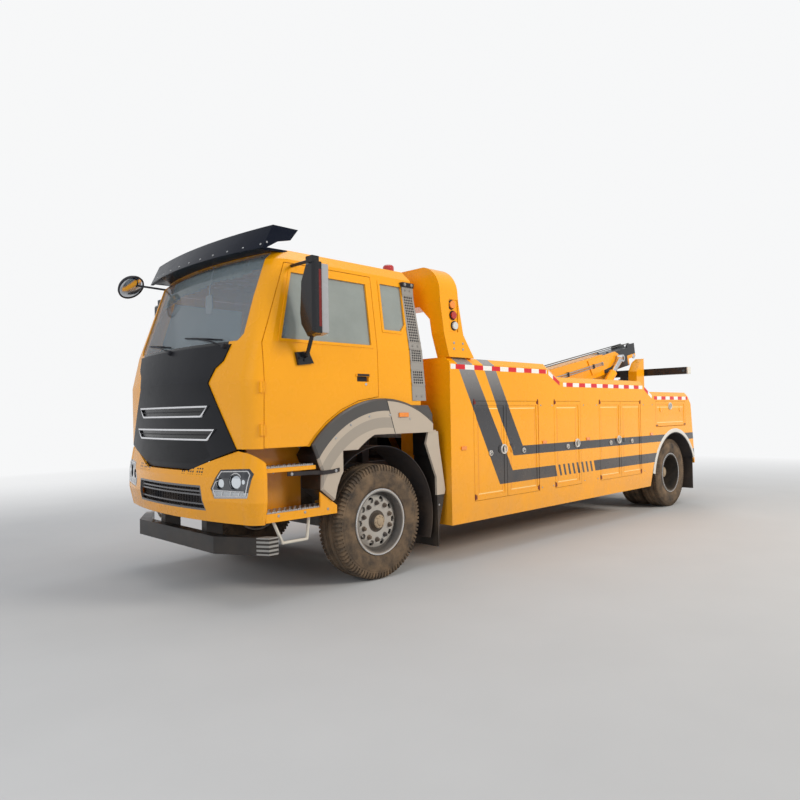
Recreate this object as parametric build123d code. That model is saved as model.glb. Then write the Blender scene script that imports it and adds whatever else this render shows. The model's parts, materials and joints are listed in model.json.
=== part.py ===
from build123d import *
import math
import os

# Tow truck: two axles, forward-control cab, locker body, lifting boom and folding rear underlift.
# Frame: +X forward, +Y to the driver's side, +Z up, millimetres, origin under the middle of the
# whole truck's box, on the ground. Sizes called AHEAD are measured forward of the front axle,
# so what lies behind it is negative.

os.makedirs("parts", exist_ok=True)

# Driving dimensions of the running gear
WHEELBASE = 6130.0
FRONT_OVERHANG = 1530.0
REAR_REACH = 1153.0
TYRE_RADIUS = 525.0
TYRE_WIDTH = 292.0
RIM_SEAT_RADIUS = 286.0
FRONT_TYRE_OUTER_Y = 1164.0
REAR_TYRE_OUTER_Y = 1223.0
TWIN_GAP = 46.0
SPINDLE_RADIUS = 40.0
HUB_RADIUS = 118.0
DRUM_RADIUS = 205.0
DRUM_WIDTH = 170.0
KING_PIN_Y = 838.0
KING_PIN_RADIUS = 26.0
KING_PIN_BOSS_RADIUS = 58.0
KING_PIN_BOSS_HEIGHT = 130.0
RAIL_OUTER_Y = 430.0
RAIL_HEIGHT = 280.0
RAIL_FLANGE = 85.0
RAIL_WALL = 10.0
RAIL_TOP_Z = 1010.0
RAIL_FRONT_AHEAD = 1240.0
RAIL_REAR_AHEAD = -WHEELBASE - 810.0
SPRING_WIDTH = 90.0
SPRING_THICKNESS = 60.0

# Driving dimensions of the cab
CAB_BOTTOM_Z = 1250.0
CAB_REAR_AHEAD = -560.0
CAB_HALF_WIDTH = 1150.0
CAB_WALL = 50.0
CAB_FLOOR = 50.0
BELT_Z = 2100.0
DOOR_SEAM = 5.0
DOOR_FRONT_AHEAD = 1240.0
DOOR_REAR_AHEAD = 0.0
DOOR_TOP_Z = 2790.0
DOOR_HINGE_Y = CAB_HALF_WIDTH + 1.0
DOOR_HINGE_RADIUS = 8.0
DOOR_HINGE_LENGTH = 90.0
DOOR_HINGE_LEAF = 30.0
DOOR_HEEL_RADIUS = 76.0
DOOR_HINGES_Z = (1400.0, 1740.0)
GLASS = 6.0
FENDER_TOP_Z = 1590.0
FENDER_LOW_Z = 1325.0
FENDER_OUTER_Y = CAB_HALF_WIDTH + 45.0
FENDER_ARC_RADIUS = 1069.0
FENDER_ARC_AHEAD = -38.0
FENDER_ARC_Z = 585.0
FENDER_INNER_Y = 900.0

# Driving dimensions of the locker body
BODY_FRONT_AHEAD = -885.0
BODY_REAR_AHEAD = -WHEELBASE - 730.0
BODY_HALF_WIDTH = 1250.0
BODY_INNER_Y = 545.0
BODY_BOTTOM_Z = 383.0
BODY_WALL = 40.0
FOLD = 60.0
LOCKER_LOW_Z = 586.0
LOCKER_HIGH_Z = 1631.0
LEAF_THICKNESS = 36.0
LEAF_GAP = 7.0
HINGE_INSET = 12.0
HINGE_PIN_RADIUS = 6.0
HINGE_PIN_REACH = 36.0
REAR_ARCH_RADIUS = 771.0
REAR_ARCH_Z = 391.0
REAR_ARCH_BEHIND_AXLE = 108.0
DECK_TOP_Z = 1290.0
DECK_THICKNESS = 40.0
DECK_REAR_AHEAD = -WHEELBASE - 900.0

# Driving dimensions of the lifting gear
BOOM_PIVOT_AHEAD = -WHEELBASE + 3680.0
BOOM_PIVOT_Z = 1640.0
BOOM_ANGLE = 11.2
BOOM_HALF_WIDTH = 165.0
BOOM_DEPTH = 340.0
BOOM_TOP_ABOVE_PIVOT = 90.0
BOOM_WALL = 14.0
BOOM_LENGTH = 3650.0
BOOM_TIP = BOOM_LENGTH + 1210.0
SHEAVE_RADIUS = 125.0
ROPE_RADIUS = 8.0
ROPE_Y = 75.0
PIVOT_PIN_RADIUS = 45.0
LIFT_EYE_AHEAD = BOOM_PIVOT_AHEAD - 4030.0
LIFT_EYE_Z = 2390.0
LIFT_FOOT_AHEAD = BOOM_PIVOT_AHEAD - 2368.0
LIFT_FOOT_Z = 960.0
LIFT_PIN_RADIUS = 32.0
LIFT_Y = 258.0
BARREL_RADIUS = 68.0
BARREL_BORE = 58.0
ROD_RADIUS = 40.0
BARREL_LENGTH = 1800.0
UNDERLIFT_PIVOT_AHEAD = DECK_REAR_AHEAD - 130.0
UNDERLIFT_PIVOT_Z = 620.0
UNDERLIFT_PIN_RADIUS = 40.0
ARM_HALF_WIDTH = 115.0
ARM_HALF_DEPTH = 100.0
ARM_WALL = 14.0
ARM_TOP_Z = 1560.0
STAGE_FOOT_Z = 1190.0
SWIVEL_GAP = 40.0
FORK_PIN_RADIUS = 22.5
FORK_PIN_Y = 1050.0
CROSSBAR_Z = 2158.0
CROSSBAR_HEIGHT = 116.0
CROSSBAR_DEPTH = 120.0
CROSSBAR_HALF_LENGTH = 1130.0
MAST_INNER_Y = 250.0
MAST_OUTER_Y = 400.0

# Small clearances used everywhere
RUNNING_FIT = 0.05
SEAT_GAP = 0.3

FRONT_AXLE_X = (WHEELBASE + REAR_REACH - FRONT_OVERHANG) / 2
REAR_AXLE_X = FRONT_AXLE_X - WHEELBASE
SIDES = (("left", 1), ("right", -1))
nodes = {}


def ahead(distance):
    return FRONT_AXLE_X + distance


def block(x0, x1, y0, y1, z0, z1):
    middle = ((x0 + x1) / 2, (y0 + y1) / 2, (z0 + z1) / 2)
    return Pos(*middle) * Box(abs(x1 - x0), abs(y1 - y0), abs(z1 - z0))


def face_xz(points, y=0.0):
    return make_face(Polyline([(x, y, z) for x, z in points], close=True))


def face_yz(points, x=0.0):
    return make_face(Polyline([(x, y, z) for y, z in points], close=True))


def face_xy(points, z=0.0):
    return make_face(Polyline([(x, y, z) for x, y in points], close=True))


def runs(points):
    """Straight edges through a list of points."""
    return [Line(a, b) for a, b in zip(points, points[1:])]


def slab_y(points, y0, y1):
    return extrude(face_xz(points, y0), amount=y1 - y0, dir=(0, 1, 0))


def slab_x(points, x0, x1):
    return extrude(face_yz(points, x0), amount=x1 - x0, dir=(1, 0, 0))


def slab_z(points, z0, z1):
    return extrude(face_xy(points, z0), amount=z1 - z0, dir=(0, 0, 1))


def bar(start, end, radius):
    a = Vector(*start)
    b = Vector(*end)
    plane = Plane(origin=a, z_dir=(b - a).normalized())
    return plane * Cylinder(radius, (b - a).length, align=(Align.CENTER, Align.CENTER, Align.MIN))


def disc_y(x, z, radius, y0, y1):
    return bar((x, min(y0, y1), z), (x, max(y0, y1), z), radius)


def mirrored(shape):
    return mirror(shape, about=Plane.XZ)


def on_side(shape, side):
    return shape if side > 0 else mirrored(shape)


def group(shapes):
    return Compound(children=[s for shape in shapes for s in shape.solids()])


def both(shape):
    return group([shape, mirrored(shape)])


def side_prism(points, shrink=0.0, y0=880.0, y1=1300.0):
    """A side view outline, given ahead of the front axle, made solid across the truck."""
    face = face_xz([(ahead(x), z) for x, z in points])
    if shrink:
        face = offset(face, amount=-shrink, kind=Kind.INTERSECTION)
    return Pos(0, y0, 0) * extrude(face, amount=y1 - y0, dir=(0, 1, 0))


def front_prism(points, x_ahead, depth, shrink=0.0):
    """A front view outline made solid along the truck."""
    face = face_yz(points)
    if shrink:
        face = offset(face, amount=-shrink, kind=Kind.INTERSECTION)
    return Pos(ahead(x_ahead), 0, 0) * extrude(face, amount=depth, dir=(1, 0, 0))


# Wheels: each turns about its own axle line.

BEAD_INSET = 22.0
FLANGE = 16.0
SHOULDER_DROP = 42.0


def tyre(x, outer_y):
    """A tyre's closed ring, its outer face at outer_y."""
    middle = outer_y - TYRE_WIDTH / 2
    half = TYRE_WIDTH / 2
    bead = half - BEAD_INSET - 2 - SEAT_GAP
    lip = RIM_SEAT_RADIUS + FLANGE + 2
    belly = (RIM_SEAT_RADIUS + TYRE_RADIUS - SHOULDER_DROP) / 2
    side = [
        (bead, RIM_SEAT_RADIUS), (bead, lip), (half, belly), (half - 10, TYRE_RADIUS - SHOULDER_DROP),
        (half - 36, TYRE_RADIUS),
    ]
    ring = [(middle + y, r) for y, r in side] + [(middle - y, r) for y, r in reversed(side)]
    return turned(x, ring)


def turned(x, profile):
    """A solid turned about an axle line from points of (y, radius)."""
    face = face_yz([(y, TYRE_RADIUS + r) for y, r in profile], x)
    return revolve(face, axis=Axis((x, 0, TYRE_RADIUS), (0, 1, 0)))


FRONT_DISC_DEPTH = 70.0
REAR_DISC_DEPTH = TYRE_WIDTH + TWIN_GAP / 2
REAR_CONE = 62.0
DISC_RADIUS = 205.0
DISC_SKIN = 14.0
RIM_SKIN = 12.0
VENT_HOLES = 10
VENT_RADIUS = 27.0
FRONT_HUB_LENGTH = 144.0


def rim_barrel(x, outer_y):
    middle = outer_y - TYRE_WIDTH / 2
    half = TYRE_WIDTH / 2 - BEAD_INSET - 2
    seat = RIM_SEAT_RADIUS - SEAT_GAP
    return turned(x, [
        (middle - half - 14, seat + FLANGE), (middle - half, seat + FLANGE), (middle - half, seat),
        (middle + half, seat), (middle + half, seat + FLANGE), (middle + half + 14, seat + FLANGE),
        (middle + half + 14, seat - RIM_SKIN), (middle - half - 14, seat - RIM_SKIN),
    ])


def rim_disc(x, face_y, into):
    """The dished disc: flat round the studs, then a cone back to the barrel, with vent holes."""
    seat = RIM_SEAT_RADIUS - SEAT_GAP - RIM_SKIN / 2
    disc = turned(x, [
        (face_y - DISC_SKIN, 0), (face_y, 0), (face_y, DISC_RADIUS), (face_y + into, seat),
        (face_y + into - DISC_SKIN - 6, seat), (face_y - DISC_SKIN, DISC_RADIUS - 6),
    ])
    for i in range(VENT_HOLES):
        a = math.radians(360 / VENT_HOLES * (i + 0.5))
        hole_x = x + DISC_RADIUS * math.sin(a)
        hole_z = TYRE_RADIUS + DISC_RADIUS * math.cos(a)
        disc -= disc_y(hole_x, hole_z, VENT_RADIUS, face_y - 60, face_y + 60)
    return disc


def front_rim():
    face_y = FRONT_TYRE_OUTER_Y - FRONT_DISC_DEPTH
    back_y = face_y - FRONT_HUB_LENGTH
    hub = turned(FRONT_AXLE_X, [
        (back_y, 0), (face_y + 34, 0), (face_y + 34, 62), (face_y + 4, 80), (face_y - 8, HUB_RADIUS),
        (back_y, HUB_RADIUS),
    ])
    drum_y = face_y - 20
    drum = turned(FRONT_AXLE_X, [
        (drum_y - DRUM_WIDTH, DRUM_RADIUS), (drum_y, DRUM_RADIUS), (drum_y, 90), (drum_y - 18, 90),
        (drum_y - 18, DRUM_RADIUS - 16), (drum_y - DRUM_WIDTH, DRUM_RADIUS - 16),
    ])
    bore = disc_y(FRONT_AXLE_X, TYRE_RADIUS, SPINDLE_RADIUS + RUNNING_FIT, back_y - 10, face_y - 30)
    disc = rim_disc(FRONT_AXLE_X, face_y, -34)
    return rim_barrel(FRONT_AXLE_X, FRONT_TYRE_OUTER_Y) + disc + hub + drum - bore


SECOND_TYRE_OUTER_Y = REAR_TYRE_OUTER_Y - TYRE_WIDTH - TWIN_GAP
REAR_HUB_LENGTH = 218.0


def rear_rims():
    face_y = REAR_TYRE_OUTER_Y - REAR_DISC_DEPTH
    back_y = face_y - REAR_HUB_LENGTH
    hub = turned(REAR_AXLE_X, [
        (back_y, 0), (face_y + 190, 0), (face_y + 190, 76), (face_y + 150, 96), (face_y + 20, HUB_RADIUS),
        (back_y, HUB_RADIUS),
    ])
    bore = disc_y(REAR_AXLE_X, TYRE_RADIUS, SPINDLE_RADIUS + RUNNING_FIT, back_y - 10, face_y - 20)
    outer = rim_barrel(REAR_AXLE_X, REAR_TYRE_OUTER_Y) + rim_disc(REAR_AXLE_X, face_y, REAR_CONE)
    inner = rim_barrel(REAR_AXLE_X, SECOND_TYRE_OUTER_Y) + rim_disc(REAR_AXLE_X, face_y - DISC_SKIN, -REAR_CONE)
    return outer + inner + hub - bore


# Axles, knuckles and springs

BEAM_DROP = 70.0
BEAM_HALF = 55.0
FRONT_SPINDLE_END_Y = FRONT_TYRE_OUTER_Y - FRONT_DISC_DEPTH - 31
REAR_SPINDLE_END_Y = REAR_TYRE_OUTER_Y - REAR_DISC_DEPTH - 21
HOUSING_RADIUS = 82.0
DIFF_RADIUS = 235.0
PINION_REACH = 420.0


def front_beam():
    z = TYRE_RADIUS
    inner = KING_PIN_Y - 190
    neck = KING_PIN_Y - 62
    high = z - BEAM_DROP + BEAM_HALF
    low = z - BEAM_DROP - BEAM_HALF
    path = [
        (-KING_PIN_Y, z + 48), (-neck, z + 48), (-inner, high), (inner, high), (neck, z + 48), (KING_PIN_Y, z + 48),
        (KING_PIN_Y, z - 48), (neck, z - 48), (inner, low), (-inner, low), (-neck, z - 48), (-KING_PIN_Y, z - 48),
    ]
    beam = slab_x(path, FRONT_AXLE_X - BEAM_HALF, FRONT_AXLE_X + BEAM_HALF)
    foot = z - KING_PIN_BOSS_HEIGHT / 2
    top = z + KING_PIN_BOSS_HEIGHT / 2
    for side in (1, -1):
        y = side * KING_PIN_Y
        beam += bar((FRONT_AXLE_X, y, foot), (FRONT_AXLE_X, y, top), KING_PIN_BOSS_RADIUS)
        beam -= bar((FRONT_AXLE_X, y, foot - 10), (FRONT_AXLE_X, y, top + 10), KING_PIN_RADIUS + RUNNING_FIT)
    return beam


def knuckle():
    z = TYRE_RADIUS
    half = KING_PIN_BOSS_HEIGHT / 2 + SEAT_GAP
    lug = 34.0
    x = FRONT_AXLE_X
    back_y = KING_PIN_Y + KING_PIN_BOSS_RADIUS + 8
    body = block(x - 60, x + 60, back_y, back_y + 34, z - half - lug, z + half + lug)
    for low in (z + half, z - half - lug):
        body += block(x - 48, x + 48, KING_PIN_Y, back_y + 10, low, low + lug)
        body += bar((x, KING_PIN_Y, low), (x, KING_PIN_Y, low + lug), 52)
    body += bar((x, KING_PIN_Y, z - half - lug), (x, KING_PIN_Y, z + half + lug), KING_PIN_RADIUS)
    body += disc_y(x, z, SPINDLE_RADIUS, back_y + 20, FRONT_SPINDLE_END_Y)
    low = z - half - lug
    body += block(x - 330, x - 40, KING_PIN_Y - 20, KING_PIN_Y + 20, low, low + lug)
    return body


def rear_housing():
    x = REAR_AXLE_X
    z = TYRE_RADIUS
    tube_end = REAR_TYRE_OUTER_Y - REAR_DISC_DEPTH - REAR_HUB_LENGTH - 1
    housing = disc_y(x, z, HOUSING_RADIUS, -tube_end, tube_end)
    housing += disc_y(x, z, SPINDLE_RADIUS, -REAR_SPINDLE_END_Y, REAR_SPINDLE_END_Y)
    bowl = [(-170, 0), (-170, 130), (-90, DIFF_RADIUS - 20), (0, DIFF_RADIUS), (90, DIFF_RADIUS - 20), (170, 130),
            (170, 0)]
    housing += turned(x, bowl)
    return housing + bar((x + 120, 0, z + 20), (x + PINION_REACH, 0, z + 20), 90)


FRONT_SPRING_HALF = 800.0
REAR_SPRING_HALF = 770.0
FRONT_EYE_Z = 640.0
REAR_EYE_Z = 700.0
EYE_HALF = 22.0
FRONT_SEAT_Z = TYRE_RADIUS - BEAM_DROP + BEAM_HALF
REAR_SEAT_Z = TYRE_RADIUS + HOUSING_RADIUS


def spring(x, half_length, seat_z, eye_z):
    """One leaf pack: rising both ways from the axle's seat to its eyes."""
    outline = [
        (x - half_length, eye_z - EYE_HALF), (x - 90, seat_z), (x + 90, seat_z),
        (x + half_length, eye_z - EYE_HALF), (x + half_length, eye_z + EYE_HALF),
        (x + 90, seat_z + SPRING_THICKNESS), (x - 90, seat_z + SPRING_THICKNESS), (x - half_length, eye_z + EYE_HALF),
    ]
    return slab_y(outline, RAIL_OUTER_Y - SPRING_WIDTH, RAIL_OUTER_Y)


# columns: place ahead of the front axle, height of the spring's eye it hangs
HANGERS = (
    (FRONT_SPRING_HALF - 40, FRONT_EYE_Z), (40 - FRONT_SPRING_HALF, FRONT_EYE_Z),
    (REAR_SPRING_HALF - 40 - WHEELBASE, REAR_EYE_Z), (40 - REAR_SPRING_HALF - WHEELBASE, REAR_EYE_Z),
)
# columns: place ahead of the front axle, height of the cab's mounting
CAB_MOUNTS = ((950.0, CAB_BOTTOM_Z - SEAT_GAP), (-470.0, FENDER_TOP_Z))
CROSS_MEMBERS_AHEAD = (
    1140.0, -1000.0, BOOM_PIVOT_AHEAD - 150, 1830 - WHEELBASE, 630 - WHEELBASE, RAIL_REAR_AHEAD + 60,
)


def frame_rails():
    low = RAIL_TOP_Z - RAIL_HEIGHT
    x0 = ahead(RAIL_REAR_AHEAD)
    x1 = ahead(RAIL_FRONT_AHEAD)
    inner = RAIL_OUTER_Y - RAIL_FLANGE
    web = RAIL_OUTER_Y - RAIL_WALL
    rail = block(x0, x1, RAIL_OUTER_Y, inner, low, RAIL_TOP_Z)
    rail -= block(x0 - 1, x1 + 1, web, inner - 1, low + RAIL_WALL, RAIL_TOP_Z - RAIL_WALL)
    side = [rail]
    for at, eye_z in HANGERS:
        side.append(block(ahead(at) - 40, ahead(at) + 40, RAIL_OUTER_Y - SPRING_WIDTH, RAIL_OUTER_Y,
                          eye_z + EYE_HALF + SEAT_GAP - 2, low))
    for at, top in CAB_MOUNTS:
        side.append(block(ahead(at) - 45, ahead(at) + 45, inner, RAIL_OUTER_Y, RAIL_TOP_Z, top))
    frame = [both(group(side))]
    for at in CROSS_MEMBERS_AHEAD:
        x = ahead(at)
        frame.append(block(x - 60, x + 60, -web, web, low + 130, RAIL_TOP_Z - RAIL_WALL))
    frame.append(disc_y(ahead(LIFT_FOOT_AHEAD), LIFT_FOOT_Z, LIFT_PIN_RADIUS, -web, web))
    return group(frame)


def powertrain():
    """Engine and gearbox as one plain mass, with the shaft to the rear axle."""
    engine = block(ahead(-420), ahead(900), -330, 330, 620, 1140)
    engine -= block(ahead(-160), ahead(160), -340, 340, 500, 700)
    foot_z = RAIL_TOP_Z - RAIL_HEIGHT + RAIL_WALL + SEAT_GAP
    engine += block(ahead(300), ahead(420), -400, 400, foot_z, foot_z + 60)
    gearbox = bar((ahead(-421), 0, 800), (ahead(-900), 0, 760), 160)
    shaft = bar((ahead(-901), 0, 760), (REAR_AXLE_X + PINION_REACH + 2.6, 0, TYRE_RADIUS + 20), 50)
    return group([engine, gearbox, shaft])


def build_running_gear():
    left_rim = front_rim()
    left_tyre = tyre(FRONT_AXLE_X, FRONT_TYRE_OUTER_Y)
    left_knuckle = knuckle()
    twins = group([tyre(REAR_AXLE_X, REAR_TYRE_OUTER_Y), tyre(REAR_AXLE_X, SECOND_TYRE_OUTER_Y)])
    twin_rims = rear_rims()
    for name, side in SIDES:
        nodes["front_rim_" + name] = on_side(left_rim, side)
        nodes["front_tyre_" + name] = on_side(left_tyre, side)
        nodes["knuckle_" + name] = on_side(left_knuckle, side)
        nodes["rear_tyres_" + name] = on_side(twins, side)
        nodes["rear_rims_" + name] = on_side(twin_rims, side)
    nodes["axles"] = group([front_beam(), rear_housing()])
    packs = [
        spring(FRONT_AXLE_X, FRONT_SPRING_HALF, FRONT_SEAT_Z + SEAT_GAP, FRONT_EYE_Z - 2),
        spring(REAR_AXLE_X, REAR_SPRING_HALF, REAR_SEAT_Z + SEAT_GAP, REAR_EYE_Z - 2),
    ]
    nodes["leaf_springs"] = both(group(packs))
    nodes["frame_rails"] = frame_rails()
    nodes["powertrain"] = powertrain()


# Cab: a form lofted through plan sections, hollowed by the same form inset.
# columns: height, rear, half width, where the corner starts, corner x, corner y, front centre x
CAB_SECTIONS = (
    (1040.0, CAB_REAR_AHEAD, CAB_HALF_WIDTH, 1210.0, 1365.0, CAB_HALF_WIDTH - 165, 1470.0),
    (1800.0, CAB_REAR_AHEAD, CAB_HALF_WIDTH, 1210.0, 1372.0, CAB_HALF_WIDTH - 165, 1478.0),
    (2110.0, CAB_REAR_AHEAD, CAB_HALF_WIDTH - 8, 1150.0, 1300.0, CAB_HALF_WIDTH - 165, 1415.0),
    (2820.0, CAB_REAR_AHEAD + 20, CAB_HALF_WIDTH - 100, 930.0, 1070.0, CAB_HALF_WIDTH - 245, 1175.0),
    (2915.0, CAB_REAR_AHEAD + 60, CAB_HALF_WIDTH - 175, 860.0, 1000.0, CAB_HALF_WIDTH - 320, 1085.0),
    (2965.0, CAB_REAR_AHEAD + 180, CAB_HALF_WIDTH - 420, 700.0, 800.0, CAB_HALF_WIDTH - 550, 880.0),
)
CAB_TOP_Z = CAB_SECTIONS[-1][0]


def plan_face(z, rear, half, side_end, corner_x, corner_y, front_x, inset):
    x0 = ahead(rear) + inset
    y1 = half - inset
    x1 = ahead(side_end) - inset / 2
    xc = ahead(corner_x) - inset * 0.7
    yc = corner_y - inset * 0.7
    xf = ahead(front_x) - inset
    bx = x1 + (xc - x1) * 0.71
    by = yc + (y1 - yc) * 0.62
    return make_face(Wire([
        Line((x0, -y1, z), (x0, y1, z)),
        Line((x0, y1, z), (x1, y1, z)),
        ThreePointArc((x1, y1, z), (bx, by, z), (xc, yc, z)),
        ThreePointArc((xc, yc, z), (xf, 0, z), (xc, -yc, z)),
        ThreePointArc((xc, -yc, z), (bx, -by, z), (x1, -y1, z)),
        Line((x1, -y1, z), (x0, -y1, z)),
    ]))


def section_at(z):
    """The cab section at any height, between the rows of the table."""
    for low, high in zip(CAB_SECTIONS, CAB_SECTIONS[1:]):
        if z <= high[0]:
            break
    t = (z - low[0]) / (high[0] - low[0])
    return [a + (b - a) * t for a, b in zip(low, high)]


def cab_form(inset, z_low, z_high):
    heights = [z_low] + [r[0] for r in CAB_SECTIONS if z_low < r[0] < z_high] + [z_high]
    return loft([plan_face(z, *section_at(z)[1:], inset) for z in heights], ruled=True)


FENDER_GAP = 14.0


def fender_arc(grow, x_ahead):
    """Height of the fender's outer arc, or of one that much larger, at a place along the truck."""
    reach = FENDER_ARC_RADIUS + grow
    return FENDER_ARC_Z + math.sqrt(reach ** 2 - (x_ahead - FENDER_ARC_AHEAD) ** 2)


DOOR_FOOT_AHEAD = FENDER_ARC_AHEAD + math.sqrt(
    (FENDER_ARC_RADIUS + FENDER_GAP) ** 2 - (CAB_BOTTOM_Z - FENDER_ARC_Z) ** 2)
DOOR_OUTLINE = [
    (DOOR_FRONT_AHEAD, CAB_BOTTOM_Z), (DOOR_FRONT_AHEAD - 12, BELT_Z),
    (DOOR_FRONT_AHEAD - 275, DOOR_TOP_Z), (DOOR_REAR_AHEAD, DOOR_TOP_Z),
]
for share in (0, 0.3, 0.55, 0.75, 0.9):
    place = DOOR_REAR_AHEAD + share * (DOOR_FOOT_AHEAD - DOOR_REAR_AHEAD)
    DOOR_OUTLINE.append((place, fender_arc(FENDER_GAP, place)))
DOOR_OUTLINE.append((DOOR_FOOT_AHEAD, CAB_BOTTOM_Z))
DOOR_WINDOW = [
    (DOOR_FRONT_AHEAD - 180, BELT_Z + 40), (DOOR_FRONT_AHEAD - 335, DOOR_TOP_Z - 80),
    (DOOR_REAR_AHEAD + 75, DOOR_TOP_Z - 80), (DOOR_REAR_AHEAD + 75, BELT_Z + 40),
]
QUARTER_WINDOW = [(-110.0, 2300.0), (-110.0, 2740.0), (-390.0, 2740.0), (-390.0, 2370.0), (-330.0, 2300.0)]
# columns: in from the cab's side, height, down one side of the windscreen
WINDSCREEN_EDGE = ((220.0, 2885.0), (225.0, 2500.0), (205.0, 2180.0), (255.0, 2125.0))
WINDSCREEN = [(CAB_HALF_WIDTH - inward, z) for inward, z in WINDSCREEN_EDGE]
WINDSCREEN += [(inward - CAB_HALF_WIDTH, z) for inward, z in reversed(WINDSCREEN_EDGE)]
REAR_WINDOW = [(-450.0, 2280.0), (450.0, 2280.0), (450.0, 2680.0), (-450.0, 2680.0)]
PANE_INSET = 12.0
BEAD_WIDTH = 26.0
BEAD_PROUD = 5.0
HANDLE_AHEAD = 190.0
HANDLE_Z = 1850.0


def wheel_house(raise_by=0.0):
    """What the cab leaves free over the front wheels and engine, in side view."""
    back = CAB_REAR_AHEAD - 60
    top = FENDER_TOP_Z + SEAT_GAP + raise_by
    return [
        (back, CAB_BOTTOM_Z - 100), (back, top), (255, top),
        (565 + raise_by / 2, 1440 + raise_by), (795 + raise_by, CAB_BOTTOM_Z + raise_by),
        (795 + raise_by, CAB_BOTTOM_Z - 100),
    ]


def build_cab():
    outer = cab_form(0, CAB_BOTTOM_Z, CAB_TOP_Z)
    skin = outer - cab_form(CAB_WALL, CAB_BOTTOM_Z, CAB_TOP_Z)
    room = cab_form(CAB_WALL, CAB_BOTTOM_Z + CAB_FLOOR, CAB_TOP_Z - CAB_FLOOR)
    room -= side_prism(wheel_house(CAB_FLOOR), y0=-1300.0)
    shell = outer - side_prism(wheel_house(), y0=-1300.0) - room
    rear_at = CAB_REAR_AHEAD - 50
    for side in (1, -1):
        shell -= skin & on_side(side_prism(DOOR_OUTLINE), side)
        shell -= on_side(side_prism(QUARTER_WINDOW), side)
    shell -= front_prism(WINDSCREEN, 700, 900)
    shell -= front_prism(REAR_WINDOW, rear_at, 200)
    pane = cab_form(PANE_INSET, BELT_Z, CAB_TOP_Z) - cab_form(PANE_INSET + GLASS, BELT_Z, CAB_TOP_Z)
    quarter = pane & side_prism(QUARTER_WINDOW, SEAT_GAP)
    nodes["cab_glass"] = group([
        pane & front_prism(WINDSCREEN, 700, 900, SEAT_GAP),
        pane & front_prism(REAR_WINDOW, rear_at, 200, SEAT_GAP),
        quarter, mirrored(quarter),
    ])
    door = (skin & side_prism(DOOR_OUTLINE, DOOR_SEAM)) - side_prism(DOOR_WINDOW)
    proud = cab_form(-BEAD_PROUD, BELT_Z, CAB_TOP_Z) - cab_form(2, BELT_Z, CAB_TOP_Z)
    door += proud & (side_prism(DOOR_WINDOW, -BEAD_WIDTH) - side_prism(DOOR_WINDOW))
    bead = proud & (side_prism(QUARTER_WINDOW, -BEAD_WIDTH) - side_prism(QUARTER_WINDOW))
    shell += bead + mirrored(bead)
    y1 = CAB_HALF_WIDTH
    door -= block(ahead(HANDLE_AHEAD - 70), ahead(HANDLE_AHEAD + 70), y1 - 22, y1 + 5, HANDLE_Z - 45, HANDLE_Z + 25)
    door += block(ahead(HANDLE_AHEAD - 85), ahead(HANDLE_AHEAD + 85), y1 - 14, y1 + 8, HANDLE_Z + 2, HANDLE_Z + 24)
    for z in DOOR_HINGES_Z:
        half = DOOR_HINGE_LENGTH / 2
        foot = (ahead(DOOR_FRONT_AHEAD), DOOR_HINGE_Y, z - half)
        top = (ahead(DOOR_FRONT_AHEAD), DOOR_HINGE_Y, z + half)
        barrel = bar(foot, top, DOOR_HINGE_RADIUS)
        barrel += block(foot[0], foot[0] + DOOR_HINGE_LEAF, y1 - 35, DOOR_HINGE_Y, z - half, z + half)
        shell += barrel + mirrored(barrel)
        reach = Vector(0, 0, DOOR_SEAM)
        door -= bar(Vector(*foot) - reach, Vector(*top) + reach, DOOR_HINGE_RADIUS + DOOR_SEAM)
    heel = [(ahead(DOOR_FRONT_AHEAD), DOOR_HINGE_Y, z) for z in (CAB_BOTTOM_Z - 1, CAB_BOTTOM_Z + CAB_FLOOR + 1)]
    relief = bar(*heel, DOOR_HEEL_RADIUS) & block(
        ahead(DOOR_FRONT_AHEAD) - DOOR_HEEL_RADIUS, ahead(DOOR_FRONT_AHEAD), 0, y1, heel[0][2], heel[1][2])
    nodes["cab_shell"] = shell - relief - mirrored(relief)
    glass = pane & side_prism(DOOR_WINDOW, SEAT_GAP)
    for name, side in SIDES:
        nodes["cab_door_" + name] = on_side(door, side)
        nodes["door_glass_" + name] = on_side(glass, side)


# Front end
# columns: half width in y, height, going down one side of the black front panel
FRONT_PANEL = (
    (CAB_HALF_WIDTH - 310, 2100.0), (CAB_HALF_WIDTH - 365, 1965.0), (CAB_HALF_WIDTH - 450, 1905.0),
    (CAB_HALF_WIDTH - 510, 1785.0), (CAB_HALF_WIDTH - 185, 1245.0), (CAB_HALF_WIDTH - 525, 1145.0),
    (CAB_HALF_WIDTH - 760, 1070.0),
)
# columns: height, half width at the top, half width at the foot, height of each grille slot
SLOTS = ((1555.0, 620.0, 545.0, 62.0), (1362.0, 700.0, 620.0, 62.0))
SLOT_RIM = 17.0
PANEL_THICKNESS = 14.0
BUMPER_LOW_Z = 653.0
BUMPER_TOP_Z = 1236.0
BUMPER_WALL = 22.0
BUMPER_REAR_AHEAD = 1238.0
BUMPER_NOTCH = ((1230.0, 1130.0), (1365.0, 1240.0), (1365.0, 1300.0), (1100.0, 1300.0), (1100.0, 1130.0))
HEADLAMP_DEPTH = 110.0
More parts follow.
